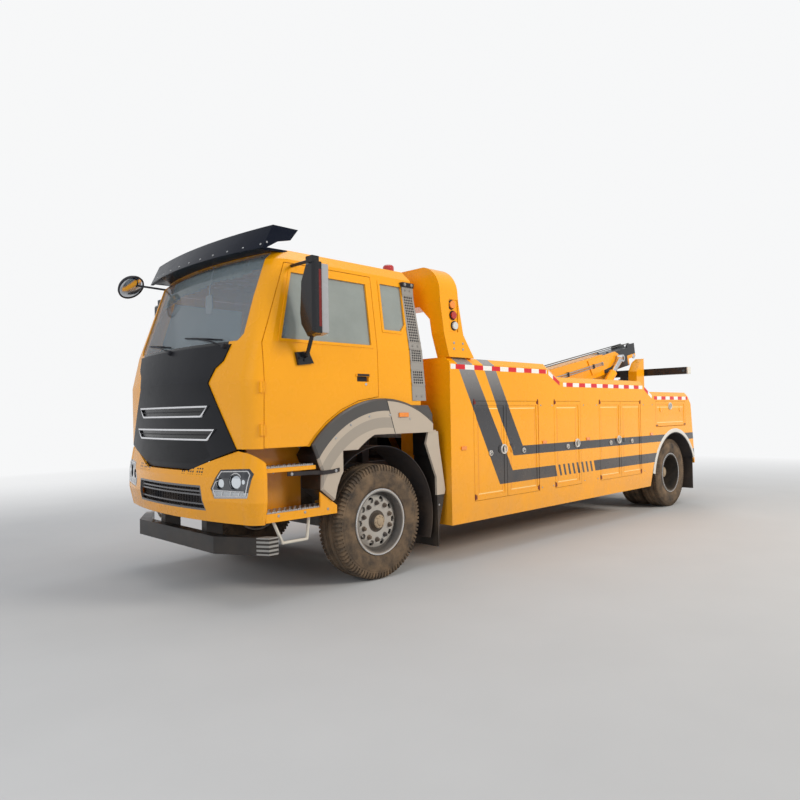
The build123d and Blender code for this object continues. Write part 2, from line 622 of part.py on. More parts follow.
# columns: height, half width, side end x, corner x, corner y, front centre x
BUMPER_SECTIONS = (
    (BUMPER_LOW_Z, CAB_HALF_WIDTH, 1262.0, 1350.0, CAB_HALF_WIDTH - 130, 1478.0),
    (830.0, CAB_HALF_WIDTH + 35, 1275.0, 1385.0, CAB_HALF_WIDTH - 110, 1525.0),
    (1020.0, CAB_HALF_WIDTH + 35, 1272.0, 1378.0, CAB_HALF_WIDTH - 110, FRONT_OVERHANG),
    (BUMPER_TOP_Z, CAB_HALF_WIDTH + 8, 1262.0, 1345.0, CAB_HALF_WIDTH - 140, 1472.0),
)
# columns: in from the cab's side, height, round one headlamp
HEADLAMP_EDGE = ((450.0, 930.0), (350.0, 1085.0), (45.0, 1100.0), (10.0, 1060.0), (50.0, 870.0), (410.0, 850.0))
HEADLAMP = [(CAB_HALF_WIDTH - inward, z) for inward, z in HEADLAMP_EDGE]
INTAKE = [(-600.0, 760.0), (600.0, 760.0), (560.0, 930.0), (-560.0, 930.0)]
INTAKE_BLADES_Z = (792.0, 868.0, 898.0)
PROJECTORS = ((805.0, 975.0, 46.0), (965.0, 990.0, 62.0))
PANEL_CLEARANCE = 8.0


def panel_outline():
    return list(FRONT_PANEL) + [(-y, z) for y, z in reversed(FRONT_PANEL)]


def bumper_form(inset):
    rear = BUMPER_REAR_AHEAD - inset
    return loft([plan_face(z, rear, *row, inset) for z, *row in BUMPER_SECTIONS], ruled=True)


def bumper():
    body = bumper_form(0) - bumper_form(BUMPER_WALL)
    lamp_hole = front_prism(HEADLAMP, 1180, 500)
    panel_hole = front_prism(panel_outline(), 1180, 500, -PANEL_CLEARANCE)
    notch = side_prism(BUMPER_NOTCH)
    for cut in (lamp_hole, mirrored(lamp_hole), front_prism(INTAKE, 1180, 500), panel_hole, notch, mirrored(notch)):
        body -= cut
    blades = bumper_form(16) - bumper_form(BUMPER_WALL + 14)
    for z in INTAKE_BLADES_Z:
        blade = front_prism([(-610, z - 7), (610, z - 7), (610, z + 7), (-610, z + 7)], 1180, 500)
        body += blades & blade & front_prism(INTAKE, 1180, 500, -10)
    for s in (1, -1):
        arm = block(ahead(RAIL_FRONT_AHEAD) + SEAT_GAP, ahead(FRONT_OVERHANG), s * 350, s * 425, 940, 1004)
        body += arm & bumper_form(BUMPER_WALL / 2)
    return body


def headlamp():
    """A lamp block with a recess for each projector and its lens standing in it."""
    outer = bumper_form(4)
    lamp = (outer - Pos(-HEADLAMP_DEPTH, 0, 0) * outer) & front_prism(HEADLAMP, 1100, 500, SEAT_GAP)
    for y, z, r in PROJECTORS:
        reach = bar((ahead(1150), y, z), (ahead(1600), y, z), r)
        well = reach - Pos(-34, 0, 0) * outer
        lens = bar((ahead(1150), y, z), (ahead(1600), y, z), r - 12) & Pos(-14, 0, 0) * outer
        lamp = (lamp - well) + (lens - Pos(-60, 0, 0) * outer)
    return lamp


def underrun_bar():
    side = CAB_HALF_WIDTH - 25
    plan = [
        (1440, -700), (1440, 700), (1190, side), (1100, side), (1350, 640), (1350, -640), (1100, -side), (1190, -side),
    ]
    tube = slab_z([(ahead(x), y) for x, y in plan], 400, 540)
    rail_low = RAIL_TOP_Z - RAIL_HEIGHT
    hanger = block(ahead(1200), ahead(1352), RAIL_OUTER_Y - RAIL_FLANGE, RAIL_OUTER_Y, 480, rail_low - SEAT_GAP)
    return tube + hanger + mirrored(hanger)


STEP_SWEEP_RADIUS = 592.0
STEP_FOOT_Z = 665.0
STEP_TREAD_Z = 728.0
STEP_LEDGE_Z = 1092.0
STEP_REAR_AHEAD = 700.0
STEP_WALL = 25.0
STEP_INNER_Y = 860.0
HOOP_RADIUS = 13.0
# columns: ahead of the front axle, height, along the foot hoop
HOOP = ((1155.0, 706.0), (1045.0, 478.0), (800.0, 478.0), (773.0, 706.0))


def entry_step():
    """A lower tread, a ledge above it, the wall behind both, a gusset at the fender and a hoop below."""
    back = ahead(BUMPER_REAR_AHEAD - 1)
    rear = ahead(STEP_REAR_AHEAD)
    y = CAB_HALF_WIDTH + 10
    wall_y = STEP_INNER_Y + STEP_WALL
    wall = block(rear, back, STEP_INNER_Y, wall_y, STEP_FOOT_Z, CAB_BOTTOM_Z - 6)
    wall = fillet(wall.edges().filter_by(Axis.Y).group_by(Axis.X)[0].sort_by(Axis.Z)[-1], 50)
    unit = wall + block(back - STEP_WALL, back, wall_y - 1, y - 20, STEP_FOOT_Z, STEP_LEDGE_Z)
    unit += block(ahead(520), back, wall_y - 1, y, STEP_TREAD_Z - 28, STEP_TREAD_Z)
    unit += block(rear + 35, back, wall_y - 1, y - 10, STEP_LEDGE_Z - 34, STEP_LEDGE_Z)
    fascia = [
        (BUMPER_REAR_AHEAD - 1, STEP_FOOT_Z), (BUMPER_REAR_AHEAD - 1, STEP_TREAD_Z + 6),
        (STEP_REAR_AHEAD, STEP_TREAD_Z + 6), (STEP_REAR_AHEAD, 862), (520, STEP_TREAD_Z + 6), (520, STEP_FOOT_Z),
    ]
    unit += side_prism(fascia, y0=y - 16, y1=y)
    unit -= bar((FRONT_AXLE_X, KING_PIN_Y, 600), (FRONT_AXLE_X, KING_PIN_Y, 1300), STEP_SWEEP_RADIUS)
    path = [(ahead(x), y - 60, z) for x, z in HOOP]
    for a, b in zip(path, path[1:]):
        unit += bar(a, b, HOOP_RADIUS)
    for corner in path[1:-1]:
        unit += Pos(*corner) * Sphere(HOOP_RADIUS)
    return unit + block(ahead(1000), ahead(1080), RAIL_OUTER_Y + SEAT_GAP, STEP_INNER_Y + 1, 740, 800)


FENDER_END_AHEAD = -700.0
MUDFLAP_AHEAD = -752.0


def front_fender():
    """Inner band over the tyre, outer flare with a bevelled arc, leg strip and mud flap."""
    nose = [(697, 1042), (704, 880), (570, 775), (540, 890)]
    band = [
        (FENDER_END_AHEAD, FENDER_LOW_Z), (FENDER_END_AHEAD, 1500), (-640, FENDER_TOP_Z), (235, FENDER_TOP_Z),
        (470, 1473), (636, 1330), (752, 1172),
    ] + nose + [(502, 975), (420, 1080), (290, 1205), (100, FENDER_LOW_Z)]
    hollow = [
        (-680, FENDER_LOW_Z - 20), (-680, FENDER_TOP_Z - 25), (240, FENDER_TOP_Z - 25), (450, 1470),
        (620, 1310), (720, 1170), (674, 1040), (680, 890), (590, 815), (500, 880),
    ]
    skin_y = FENDER_OUTER_Y - 25
    body = side_prism(band, y0=FENDER_INNER_Y, y1=skin_y + 1)
    body -= side_prism(hollow, y0=FENDER_INNER_Y - 10, y1=skin_y)
    start = fender_arc(0, FENDER_END_AHEAD)
    tip = fender_arc(0, 790)
    x0, x1, x2, x3, x4 = [ahead(x) for x in (FENDER_END_AHEAD, FENDER_ARC_AHEAD, 790, 502, 100)]
    low = FENDER_LOW_Z
    y = CAB_HALF_WIDTH + 4
    ends = [(ahead(a), y, z) for a, z in nose]
    arcs = [
        ThreePointArc((x0, y, start), (x1, y, FENDER_ARC_Z + FENDER_ARC_RADIUS), (x2, y, tip)),
        ThreePointArc((x3, y, 975), (ahead(335), y, 1170), (x4, y, low)),
    ]
    outline = Wire(arcs + runs([(x2, y, tip)] + ends + [(x3, y, 975)]) + runs([(x4, y, low), (x0, y, low), (x0, y, start)]))
    flare = extrude(make_face(outline), amount=FENDER_OUTER_Y - y, dir=(0, 1, 0))
    rim = [
        e for e in flare.edges()
        if e.center().Y > FENDER_OUTER_Y - 1 and (e.center().Z > 1340 or e.center().X > ahead(600))
    ]
    body += chamfer(rim, 16)
    sweep = bar((FRONT_AXLE_X, KING_PIN_Y, 600), (FRONT_AXLE_X, KING_PIN_Y, 1200), STEP_SWEEP_RADIUS)
    body -= sweep & block(FRONT_AXLE_X, ahead(900), 800, 1300, 600, 1200)
    leg = [
        (FENDER_END_AHEAD, 1330), (-620, 1330), (-585, 1215), (-728, 878), (-738, 395), (-755, 395),
        (-855, 743), (-775, 1183), (-760, 1330),
    ]
    body += side_prism(leg, y0=skin_y - 10, y1=FENDER_OUTER_Y - 5)
    x = ahead(MUDFLAP_AHEAD)
    body += block(x, x + 12, FENDER_INNER_Y - 30, FENDER_OUTER_Y - 6, 190, 1100)
    body += block(x, ahead(FENDER_END_AHEAD) + 2, FENDER_INNER_Y, skin_y, 1090, low + 20)
    return body


# columns: height, front centre, corner, half width of the visor
VISOR_SECTIONS = (
    (2880.0, 1290.0, 1160.0, CAB_HALF_WIDTH - 110), (3085.0, 1150.0, 1060.0, CAB_HALF_WIDTH - 105),
)
# columns: ahead of the front axle, height, round what is kept of the visor in side view
VISOR_SIDE = (
    (1400.0, 2870.0), (1150.0, 2870.0), (1010.0, 2955.0), (885.0, 2985.0), (800.0, 3095.0), (1400.0, 3095.0),
)
VISOR_SKIN = 14.0
VISOR_ARM_Y = 720.0


def visor_face(z, front, corner, half, inset):
    xc = ahead(corner) - inset
    y1 = half - inset
    back = ahead(700)
    return make_face(Wire([
        ThreePointArc((xc, -y1, z), (ahead(front) - inset, 0, z), (xc, y1, z)),
        Line((xc, y1, z), (back, y1, z)),
        Line((back, y1, z), (back, -y1, z)),
        Line((back, -y1, z), (xc, -y1, z)),
    ]))


def sun_visor():
    outer = loft([visor_face(*row, 0) for row in VISOR_SECTIONS], ruled=True)
    inner = loft([visor_face(*row, VISOR_SKIN) for row in VISOR_SECTIONS], ruled=True)
    keep = side_prism(VISOR_SIDE, y0=-1300.0)
    visor = (outer - inner) & keep
    for s in (1, -1):
        arm = block(ahead(850), ahead(1300), s * VISOR_ARM_Y, s * (VISOR_ARM_Y + 30), 2925, 2960)
        visor += (arm & outer) - cab_form(-SEAT_GAP, CAB_BOTTOM_Z, CAB_TOP_Z)
    return visor


def build_front():
    proud = cab_form(-PANEL_THICKNESS, 1045.0, BELT_Z + 10) - cab_form(-SEAT_GAP, 1045.0, BELT_Z + 10)
    panel = proud & front_prism(panel_outline(), 1000, 700)
    rims = cab_form(-PANEL_THICKNESS - 7, 1045.0, BELT_Z) - cab_form(-PANEL_THICKNESS + 2, 1045.0, BELT_Z)
    for z, top, foot, height in SLOTS:
        half = height / 2
        slot = [(-foot, z - half), (foot, z - half), (top, z + half), (-top, z + half)]
        opening = front_prism(slot, 1000, 700)
        panel = (panel - opening) + (rims & (front_prism(slot, 1000, 700, -SLOT_RIM) - opening))
        blade = front_prism([(-top, z - 4), (top, z - 4), (top, z + 4), (-top, z + 4)], 1000, 700)
        inner = cab_form(-PANEL_THICKNESS + 4, 1045.0, BELT_Z) - cab_form(-SEAT_GAP, 1045.0, BELT_Z)
        panel += inner & blade & front_prism(slot, 1000, 700, -2)
    nodes["front_panel"] = panel
    nodes["front_bumper"] = bumper()
    nodes["headlamps"] = both(headlamp())
    nodes["underrun_bar"] = underrun_bar()
    nodes["entry_steps"] = both(entry_step())
    nodes["front_fenders"] = both(front_fender())
    nodes["sun_visor"] = sun_visor()


# Inside the cab

SEAT_Y = 620.0
SEAT_FLOOR_Z = FENDER_TOP_Z + SEAT_GAP + CAB_FLOOR
STEERING_RADIUS = 225.0


def seat(side):
    y = side * SEAT_Y
    base = block(ahead(-40), ahead(440), y - 250, y + 250, 1880, 2010)
    pedestal = block(ahead(40), ahead(240), y - 180, y + 180, SEAT_FLOOR_Z + SEAT_GAP, 1881)
    back = slab_y(
        [(ahead(-40), 1990), (ahead(90), 1990), (ahead(-50), 2560), (ahead(-170), 2560)], y - 240, y + 240)
    head = block(ahead(-190), ahead(-90), y - 130, y + 130, 2550, 2730)
    return base + pedestal + back + head


def build_interior():
    nodes["seats"] = group([seat(1), seat(-1)])
    dash = slab_y([
        (ahead(930), 1560), (ahead(930), 2010), (ahead(1020), 2080), (ahead(1500), 2080), (ahead(1500), 1560),
    ], -900, 900) & cab_form(CAB_WALL + SEAT_GAP, CAB_BOTTOM_Z, BELT_Z)
    foot = (ahead(1000), SEAT_Y, 1850)
    head = (ahead(760), SEAT_Y, 2110)
    tilt = Plane(origin=(ahead(750), SEAT_Y, 2121), z_dir=(-0.68, 0, 0.73))
    rim = [(STEERING_RADIUS + 17 * math.cos(math.radians(a)), 0, 17 * math.sin(math.radians(a)))
           for a in range(0, 360, 60)]
    ring = revolve(make_face(Polyline(rim, close=True)), axis=Axis.Z)
    wheel = tilt * ring + tilt * Cylinder(60, 40)
    for a in (90, 210, 330):
        end = ((STEERING_RADIUS - 5) * math.cos(math.radians(a)), (STEERING_RADIUS - 5) * math.sin(math.radians(a)), 0)
        wheel += tilt * bar((0, 0, 0), end, 13)
    nodes["dashboard"] = dash + bar(foot, head, 32) + wheel


# columns: out from the cab's side, height, round the mirror head seen from the front
MIRROR_FRONT = (
    (170.0, 2740.0), (100.0, 2600.0), (80.0, 2340.0), (95.0, 2240.0), (170.0, 2145.0), (280.0, 2165.0),
    (280.0, 2740.0),
)
MIRROR_AHEAD = 950.0
SHELL_DEPTH = 85.0
HOUSING_DEPTH = 75.0
MIRROR_FOOT_AHEAD = 850.0
LOOK_DOWN = (1300.0, 15.0, 2860.0)
LOOK_DOWN_RADIUS = 125.0


def mirror_unit():
    """Two housings back to back, the rear one smaller with the glass sunk in it, on two arms."""
    outline = [(CAB_HALF_WIDTH + out, z) for out, z in MIRROR_FRONT]
    shell = front_prism(outline, MIRROR_AHEAD - SHELL_DEPTH, SHELL_DEPTH)
    front = [e for e in shell.edges() if e.center().X > ahead(MIRROR_AHEAD) - 1]
    shell = chamfer(front, 22)
    rear = MIRROR_AHEAD - SHELL_DEPTH - HOUSING_DEPTH
    shell += front_prism(outline, rear, HOUSING_DEPTH + 1, 10)
    shell -= front_prism(outline, rear - 1, 9, 28)
    y = CAB_HALF_WIDTH
    foot = MIRROR_FOOT_AHEAD
    arms = bar((ahead(foot + 40), y + 200, 2200), (ahead(foot), y + 55, 2010), 17)
    arms += bar((ahead(foot), y + 62, 2018), (ahead(foot), y - 60, 1985), 24)
    arms += slab_y([(ahead(foot - 95), 1945), (ahead(foot + 60), 1925), (ahead(foot + 85), 2030), (ahead(foot - 40), 2045)],
                   y - 60, y + 22)
    arms += block(ahead(foot + 5), ahead(foot + 75), y + 150, y + 235, 2730, 2795)
    arms += bar((ahead(foot + 40), y + 200, 2765), (ahead(foot + 40), y - 140, 2765), 14)
    return shell + (arms - cab_form(-SEAT_GAP, CAB_BOTTOM_Z, CAB_TOP_Z))


def look_down_mirror():
    """The round kerb mirror on a short stalk at the right front corner of the roof."""
    x, out, z = LOOK_DOWN
    y = -CAB_HALF_WIDTH - out
    tilt = Plane(origin=(ahead(x), y, z), z_dir=(-0.62, 0.35, -0.7))
    bowl = tilt * Cone(LOOK_DOWN_RADIUS, 60, 70, align=(Align.CENTER, Align.CENTER, Align.MIN), rotation=(180, 0, 0))
    bowl += tilt * Cylinder(LOOK_DOWN_RADIUS, 14, align=(Align.CENTER, Align.CENTER, Align.MIN))
    stalk = bar((ahead(x - 20), y + 30, z + 20), (ahead(1000), 200 - CAB_HALF_WIDTH, z - 25), 11)
    return (bowl + stalk) - cab_form(-SEAT_GAP, CAB_BOTTOM_Z, CAB_TOP_Z)


def build_mirrors():
    unit = mirror_unit()
    for name, side in SIDES:
        nodes["mirror_" + name] = on_side(unit, side)
    nodes["kerb_mirror"] = look_down_mirror()


# Locker body
# widths of the five leaves on each side, front to rear, and where the first starts and the last ends
LEAF_WIDTHS = (575.0, 629.0, 614.0, 589.0, 615.0)
FIRST_LEAF_AHEAD = BODY_FRONT_AHEAD - 361
LAST_LEAF_END = 1059.0 - WHEELBASE
# the part of the room left between the bays that goes to the post in front of the middle bay
FRONT_POST_SHARE = 328.0 / 803.0
FLAP_FRONT = 565.0 - WHEELBASE
FLAP_REAR = -522.0 - WHEELBASE
FLAP_LOW_Z = 1247.0
FLAP_HIGH_Z = 1636.0
BAY_1_END = FIRST_LEAF_AHEAD - LEAF_WIDTHS[0] - LEAF_WIDTHS[1]
BAY_3_START = LAST_LEAF_END + LEAF_WIDTHS[3] + LEAF_WIDTHS[4]
BAY_2_START = BAY_1_END - FRONT_POST_SHARE * (BAY_1_END - BAY_3_START - LEAF_WIDTHS[2])
BAY_2_END = BAY_2_START - LEAF_WIDTHS[2]
# columns: name, front edge, rear edge, low, high, edge that is hinged
LOCKER_DOORS = (
    ("locker_door_1", FIRST_LEAF_AHEAD, FIRST_LEAF_AHEAD - LEAF_WIDTHS[0], LOCKER_LOW_Z, LOCKER_HIGH_Z, "front"),
    ("locker_door_2", FIRST_LEAF_AHEAD - LEAF_WIDTHS[0], BAY_1_END, LOCKER_LOW_Z, LOCKER_HIGH_Z, "rear"),
    ("locker_door_3", BAY_2_START, BAY_2_END, LOCKER_LOW_Z, LOCKER_HIGH_Z, "front"),
    ("locker_door_4", BAY_3_START, LAST_LEAF_END + LEAF_WIDTHS[4], LOCKER_LOW_Z, LOCKER_HIGH_Z, "front"),
    ("locker_door_5", LAST_LEAF_END + LEAF_WIDTHS[4], LAST_LEAF_END, LOCKER_LOW_Z, LOCKER_HIGH_Z, "rear"),
    ("tool_flap", FLAP_FRONT, FLAP_REAR, FLAP_LOW_Z, FLAP_HIGH_Z, "bottom"),
)
# columns: front, rear, low, high of each doorway
DOORWAYS = (
    (FIRST_LEAF_AHEAD, BAY_1_END, LOCKER_LOW_Z, LOCKER_HIGH_Z), (BAY_2_START, BAY_2_END, LOCKER_LOW_Z, LOCKER_HIGH_Z),
    (BAY_3_START, LAST_LEAF_END, LOCKER_LOW_Z, LOCKER_HIGH_Z), (FLAP_FRONT, FLAP_REAR, FLAP_LOW_Z, FLAP_HIGH_Z),
)
BODY_TOP_Z = 2076.0
MIDDLE_TOP_Z = 1926.0
TAIL_TOP_Z = 1775.0
BODY_OUTLINE = [
    (BODY_FRONT_AHEAD, BODY_BOTTOM_Z), (BODY_FRONT_AHEAD, BODY_TOP_Z), (BAY_1_END - 205, BODY_TOP_Z),
    (BAY_1_END - 490, MIDDLE_TOP_Z), (960 - WHEELBASE, MIDDLE_TOP_Z), (656 - WHEELBASE, TAIL_TOP_Z),
    (BODY_REAR_AHEAD + 84, TAIL_TOP_Z), (BODY_REAR_AHEAD, TAIL_TOP_Z - 85), (BODY_REAR_AHEAD - 130, 640),
    (BODY_REAR_AHEAD - 100, 610), (649 - WHEELBASE, 610), (649 - WHEELBASE, 729), (788 - WHEELBASE, BODY_BOTTOM_Z),
]
REAR_ARCH_X = REAR_AXLE_X - REAR_ARCH_BEHIND_AXLE
ROOM_MARGIN = 15.0
PLATE = 25.0
PARTITIONS_AHEAD = (
    FIRST_LEAF_AHEAD + 46, (BAY_1_END + BAY_2_START) / 2, (BAY_2_END + BAY_3_START) / 2, 830 - WHEELBASE,
)
RECESS_MARGIN = 48.0
RECESS_DEPTH = 5.0
LATCH_RADIUS = 46.0


def locker_side():
    body = side_prism(BODY_OUTLINE, y0=BODY_INNER_Y, y1=BODY_HALF_WIDTH)
    edges = [
        e for e in body.edges()
        if e.center().Y > BODY_HALF_WIDTH - 1 and e.center().Z > 1700
        and abs(e.start_point().X - e.end_point().X) > 50 and e.center().X < ahead(BODY_FRONT_AHEAD - 1)
    ]
    body = chamfer(edges, FOLD)
    body -= disc_y(REAR_ARCH_X, REAR_ARCH_Z, REAR_ARCH_RADIUS, BODY_INNER_Y - 10, BODY_HALF_WIDTH + 10)
    inner_y = BODY_HALF_WIDTH - BODY_WALL
    rooms = side_prism(BODY_OUTLINE, PLATE, y0=BODY_INNER_Y + PLATE, y1=inner_y)
    rooms -= disc_y(REAR_ARCH_X, REAR_ARCH_Z, REAR_ARCH_RADIUS + PLATE, BODY_INNER_Y, BODY_HALF_WIDTH)
    for at in PARTITIONS_AHEAD:
        rooms -= block(ahead(at) - PLATE / 2, ahead(at) + PLATE / 2, BODY_INNER_Y, BODY_HALF_WIDTH, 300, 2200)
    rooms -= block(ahead(BODY_REAR_AHEAD) - 400, ahead(BODY_FRONT_AHEAD), BODY_INNER_Y, BODY_HALF_WIDTH,
                   BODY_BOTTOM_Z, LOCKER_LOW_Z - ROOM_MARGIN)
    body -= rooms
    for front, rear, low, high in DOORWAYS:
        body -= block(ahead(rear), ahead(front), inner_y - 1, BODY_HALF_WIDTH + 1, low, high)
    for _, *sizes in LOCKER_DOORS:
        for pin in hinge_pins(*sizes):
            body += pin
    return body


def leaf(front, rear, low, high, hinge):
    """A door leaf rounded about its hinge line, with a blind bore at each end for the body's pins."""
    gap = LEAF_GAP / 2
    y1 = BODY_HALF_WIDTH
    panel = block(ahead(rear) + gap, ahead(front) - gap, y1 - LEAF_THICKNESS, y1, low + gap, high - gap)
    x, z = hinge_line(front, rear, low, hinge)
    if hinge == "bottom":
        edge = panel.edges().filter_by(Axis.X).group_by(Axis.Z)[0].sort_by(Axis.Y)[-1]
    else:
        edge = panel.edges().filter_by(Axis.Z).group_by(Axis.X)[-1 if hinge == "front" else 0].sort_by(Axis.Y)[-1]
    panel = fillet(edge, HINGE_INSET - 0.01)
    for pin in hinge_pins(front, rear, low, high, hinge, RUNNING_FIT):
        panel -= pin
    m = RECESS_MARGIN
    panel -= block(ahead(rear) + m, ahead(front) - m, y1 - RECESS_DEPTH, y1 + 1, low + m, high - m)
    if hinge == "bottom":
        latches = [(ahead(front) - 190, high - 120), (ahead(rear) + 190, high - 120)]
    else:
        latches = [(ahead(rear) + 105 if hinge == "front" else ahead(front) - 105, (low + high) / 2)]
    for x, z in latches:
        panel += disc_y(x, z, LATCH_RADIUS, y1 - RECESS_DEPTH - 1, y1)
        panel -= disc_y(x, z, LATCH_RADIUS - 12, y1 - 12, y1 + 1)
    return panel


def hinge_line(front, rear, low, hinge):
    reach = LEAF_GAP / 2 + HINGE_INSET
    if hinge == "bottom":
        return None, low + reach
    return (ahead(front) - reach if hinge == "front" else ahead(rear) + reach), None


def hinge_pins(front, rear, low, high, hinge, grow=0.0):
    """The pins that stand out of the body's frame into a leaf, at both ends of its hinge line."""
    y = BODY_HALF_WIDTH - HINGE_INSET
    x, z = hinge_line(front, rear, low, hinge)
    r = HINGE_PIN_RADIUS + grow
    root = 8.0
    if hinge == "bottom":
        return [
            bar((ahead(rear) - root, y, z), (ahead(rear) + HINGE_PIN_REACH + grow, y, z), r),
            bar((ahead(front) + root, y, z), (ahead(front) - HINGE_PIN_REACH - grow, y, z), r),
        ]
    return [
        bar((x, y, low - root), (x, y, low + HINGE_PIN_REACH + grow), r),
        bar((x, y, high + root), (x, y, high - HINGE_PIN_REACH - grow), r),
    ]


def rear_arch():
    outer = disc_y(REAR_ARCH_X, REAR_ARCH_Z, REAR_ARCH_RADIUS - SEAT_GAP, BODY_INNER_Y, BODY_HALF_WIDTH)
    inner = disc_y(REAR_ARCH_X, REAR_ARCH_Z, REAR_ARCH_RADIUS - 26, BODY_INNER_Y - 5, BODY_HALF_WIDTH + 5)
    keep = block(REAR_ARCH_X - 900, REAR_ARCH_X + 900, BODY_INNER_Y, BODY_HALF_WIDTH, 720, 1300)
    x = ahead(BODY_REAR_AHEAD - 74)
    side = BODY_HALF_WIDTH - 15
    flap = block(x, x + 12, 600, side, 210, 760) & outer
    flap += block(x, x + 12, 600, side, 210, 600)
    return ((outer - inner) & keep) + flap


# columns: height, front face, rear face of the gantry post, all ahead of the front axle
GANTRY_POST = (
    (BODY_TOP_Z + SEAT_GAP, -893.0, -1290.0), (2310.0, -820.0, -1120.0), (2630.0, -770.0, -1050.0),
    (2990.0, -745.0, -1010.0),
)
GANTRY_HALF_WIDTH = BODY_HALF_WIDTH - 10
GANTRY_TOP_Z = 2995.0
GANTRY_CORNER = 250.0
GANTRY_PANEL = (-1040.0, -900.0, 2330.0, 2660.0)
DECK_BEARERS_AHEAD = (-1300.0, -2500.0, 2430 - WHEELBASE, 1530 - WHEELBASE, 130 - WHEELBASE)


def gantry():
    """An arch over the deck: raked posts with round shoulders, and a sunk lamp panel on each side."""
    front = [(x, z) for z, x, _ in GANTRY_POST]
    rear = [(x, z) for z, _, x in reversed(GANTRY_POST)]
    x = ahead(-1400)
    y = GANTRY_HALF_WIDTH
    top = GANTRY_TOP_Z
    bend = GANTRY_CORNER * (1 - math.sqrt(0.5))
    low = BODY_TOP_Z
    shoulder = ThreePointArc((x, y, top - GANTRY_CORNER), (x, y - bend, top - bend), (x, y - GANTRY_CORNER, top))
    rest = [
        (x, y - GANTRY_CORNER, top), (x, 0, top), (x, 0, 2600), (x, y - 290, 2600), (x, y - 170, 2466),
        (x, y - 160, low), (x, y, low), (x, y, top - GANTRY_CORNER),
    ]
    arch = Wire([shoulder] + runs(rest))
    half = side_prism(front + rear, y0=-1.0, y1=y + 10) & extrude(make_face(arch), amount=700, dir=(1, 0, 0))
    rear_x, front_x, foot, head = GANTRY_PANEL
    half -= block(ahead(rear_x), ahead(front_x), y - 9, y + 5, foot, head)
    return half + mirrored(half)


# how far ahead and behind the lift cylinders' feet the openings in the deck reach
DECK_SLOT = (LIFT_FOOT_AHEAD + 98, LIFT_FOOT_AHEAD - 522)
DECK_SLOT_Y = (180.0, 338.0)


def deck():
    """Plates round the two openings that the lift cylinders pass through, on bearers over the frame."""
    low = DECK_TOP_Z - DECK_THICKNESS
    y = BODY_INNER_Y - SEAT_GAP
    front, rear = [ahead(x) for x in DECK_SLOT]
    inner, outer = DECK_SLOT_Y
    side = [block(rear, front, outer, y, low, DECK_TOP_Z)]
    for at in DECK_BEARERS_AHEAD:
        side.append(block(ahead(at) - 60, ahead(at) + 60, 350, RAIL_OUTER_Y, RAIL_TOP_Z + SEAT_GAP, low))
    return group([
        block(front, ahead(BODY_FRONT_AHEAD), -y, y, low, DECK_TOP_Z), both(group(side)),
        block(rear, front, -inner, inner, low, DECK_TOP_Z),
        block(ahead(DECK_REAR_AHEAD), rear, -y, y, low, DECK_TOP_Z),
    ])


def build_body():
    nodes["locker_bodies"] = both(locker_side())
    for label, *sizes in LOCKER_DOORS:
        panel = leaf(*sizes)
        for name, side in SIDES:
            nodes[label + "_" + name] = on_side(panel, side)
    nodes["deck"] = deck()
    nodes["rear_arches"] = both(rear_arch())
    nodes["light_gantry"] = gantry()


# Lifting gear

BOOM_COS = math.cos(math.radians(BOOM_ANGLE))
BOOM_SIN = math.sin(math.radians(BOOM_ANGLE))


def boom_frame():
    """A plane at the boom's foot: local X runs along the boom to its tip, local Z is across it, up."""
    return Plane(
        origin=(ahead(BOOM_PIVOT_AHEAD), 0, BOOM_PIVOT_Z),
        x_dir=(-BOOM_COS, 0, BOOM_SIN),
        z_dir=(BOOM_SIN, 0, BOOM_COS),
    )


def boom_block(x0, x1, y0, y1, z0, z1):
    return boom_frame() * block(x0, x1, y0, y1, z0, z1)


def along_boom(x_ahead, z):
    """Distance along and across the boom of a point in the side view."""
    dx = x_ahead - BOOM_PIVOT_AHEAD
    dz = z - BOOM_PIVOT_Z
    return -dx * BOOM_COS + dz * BOOM_SIN, dx * BOOM_SIN + dz * BOOM_COS


def boom_disc(along, across, radius, y0, y1):
    low = min(y0, y1)
    return boom_frame() * bar((along, -max(y0, y1), across), (along, -low, across), radius)


FOOT_PLATE = 30.0
ROPE_ACROSS = SHEAVE_RADIUS + ROPE_RADIUS + SEAT_GAP


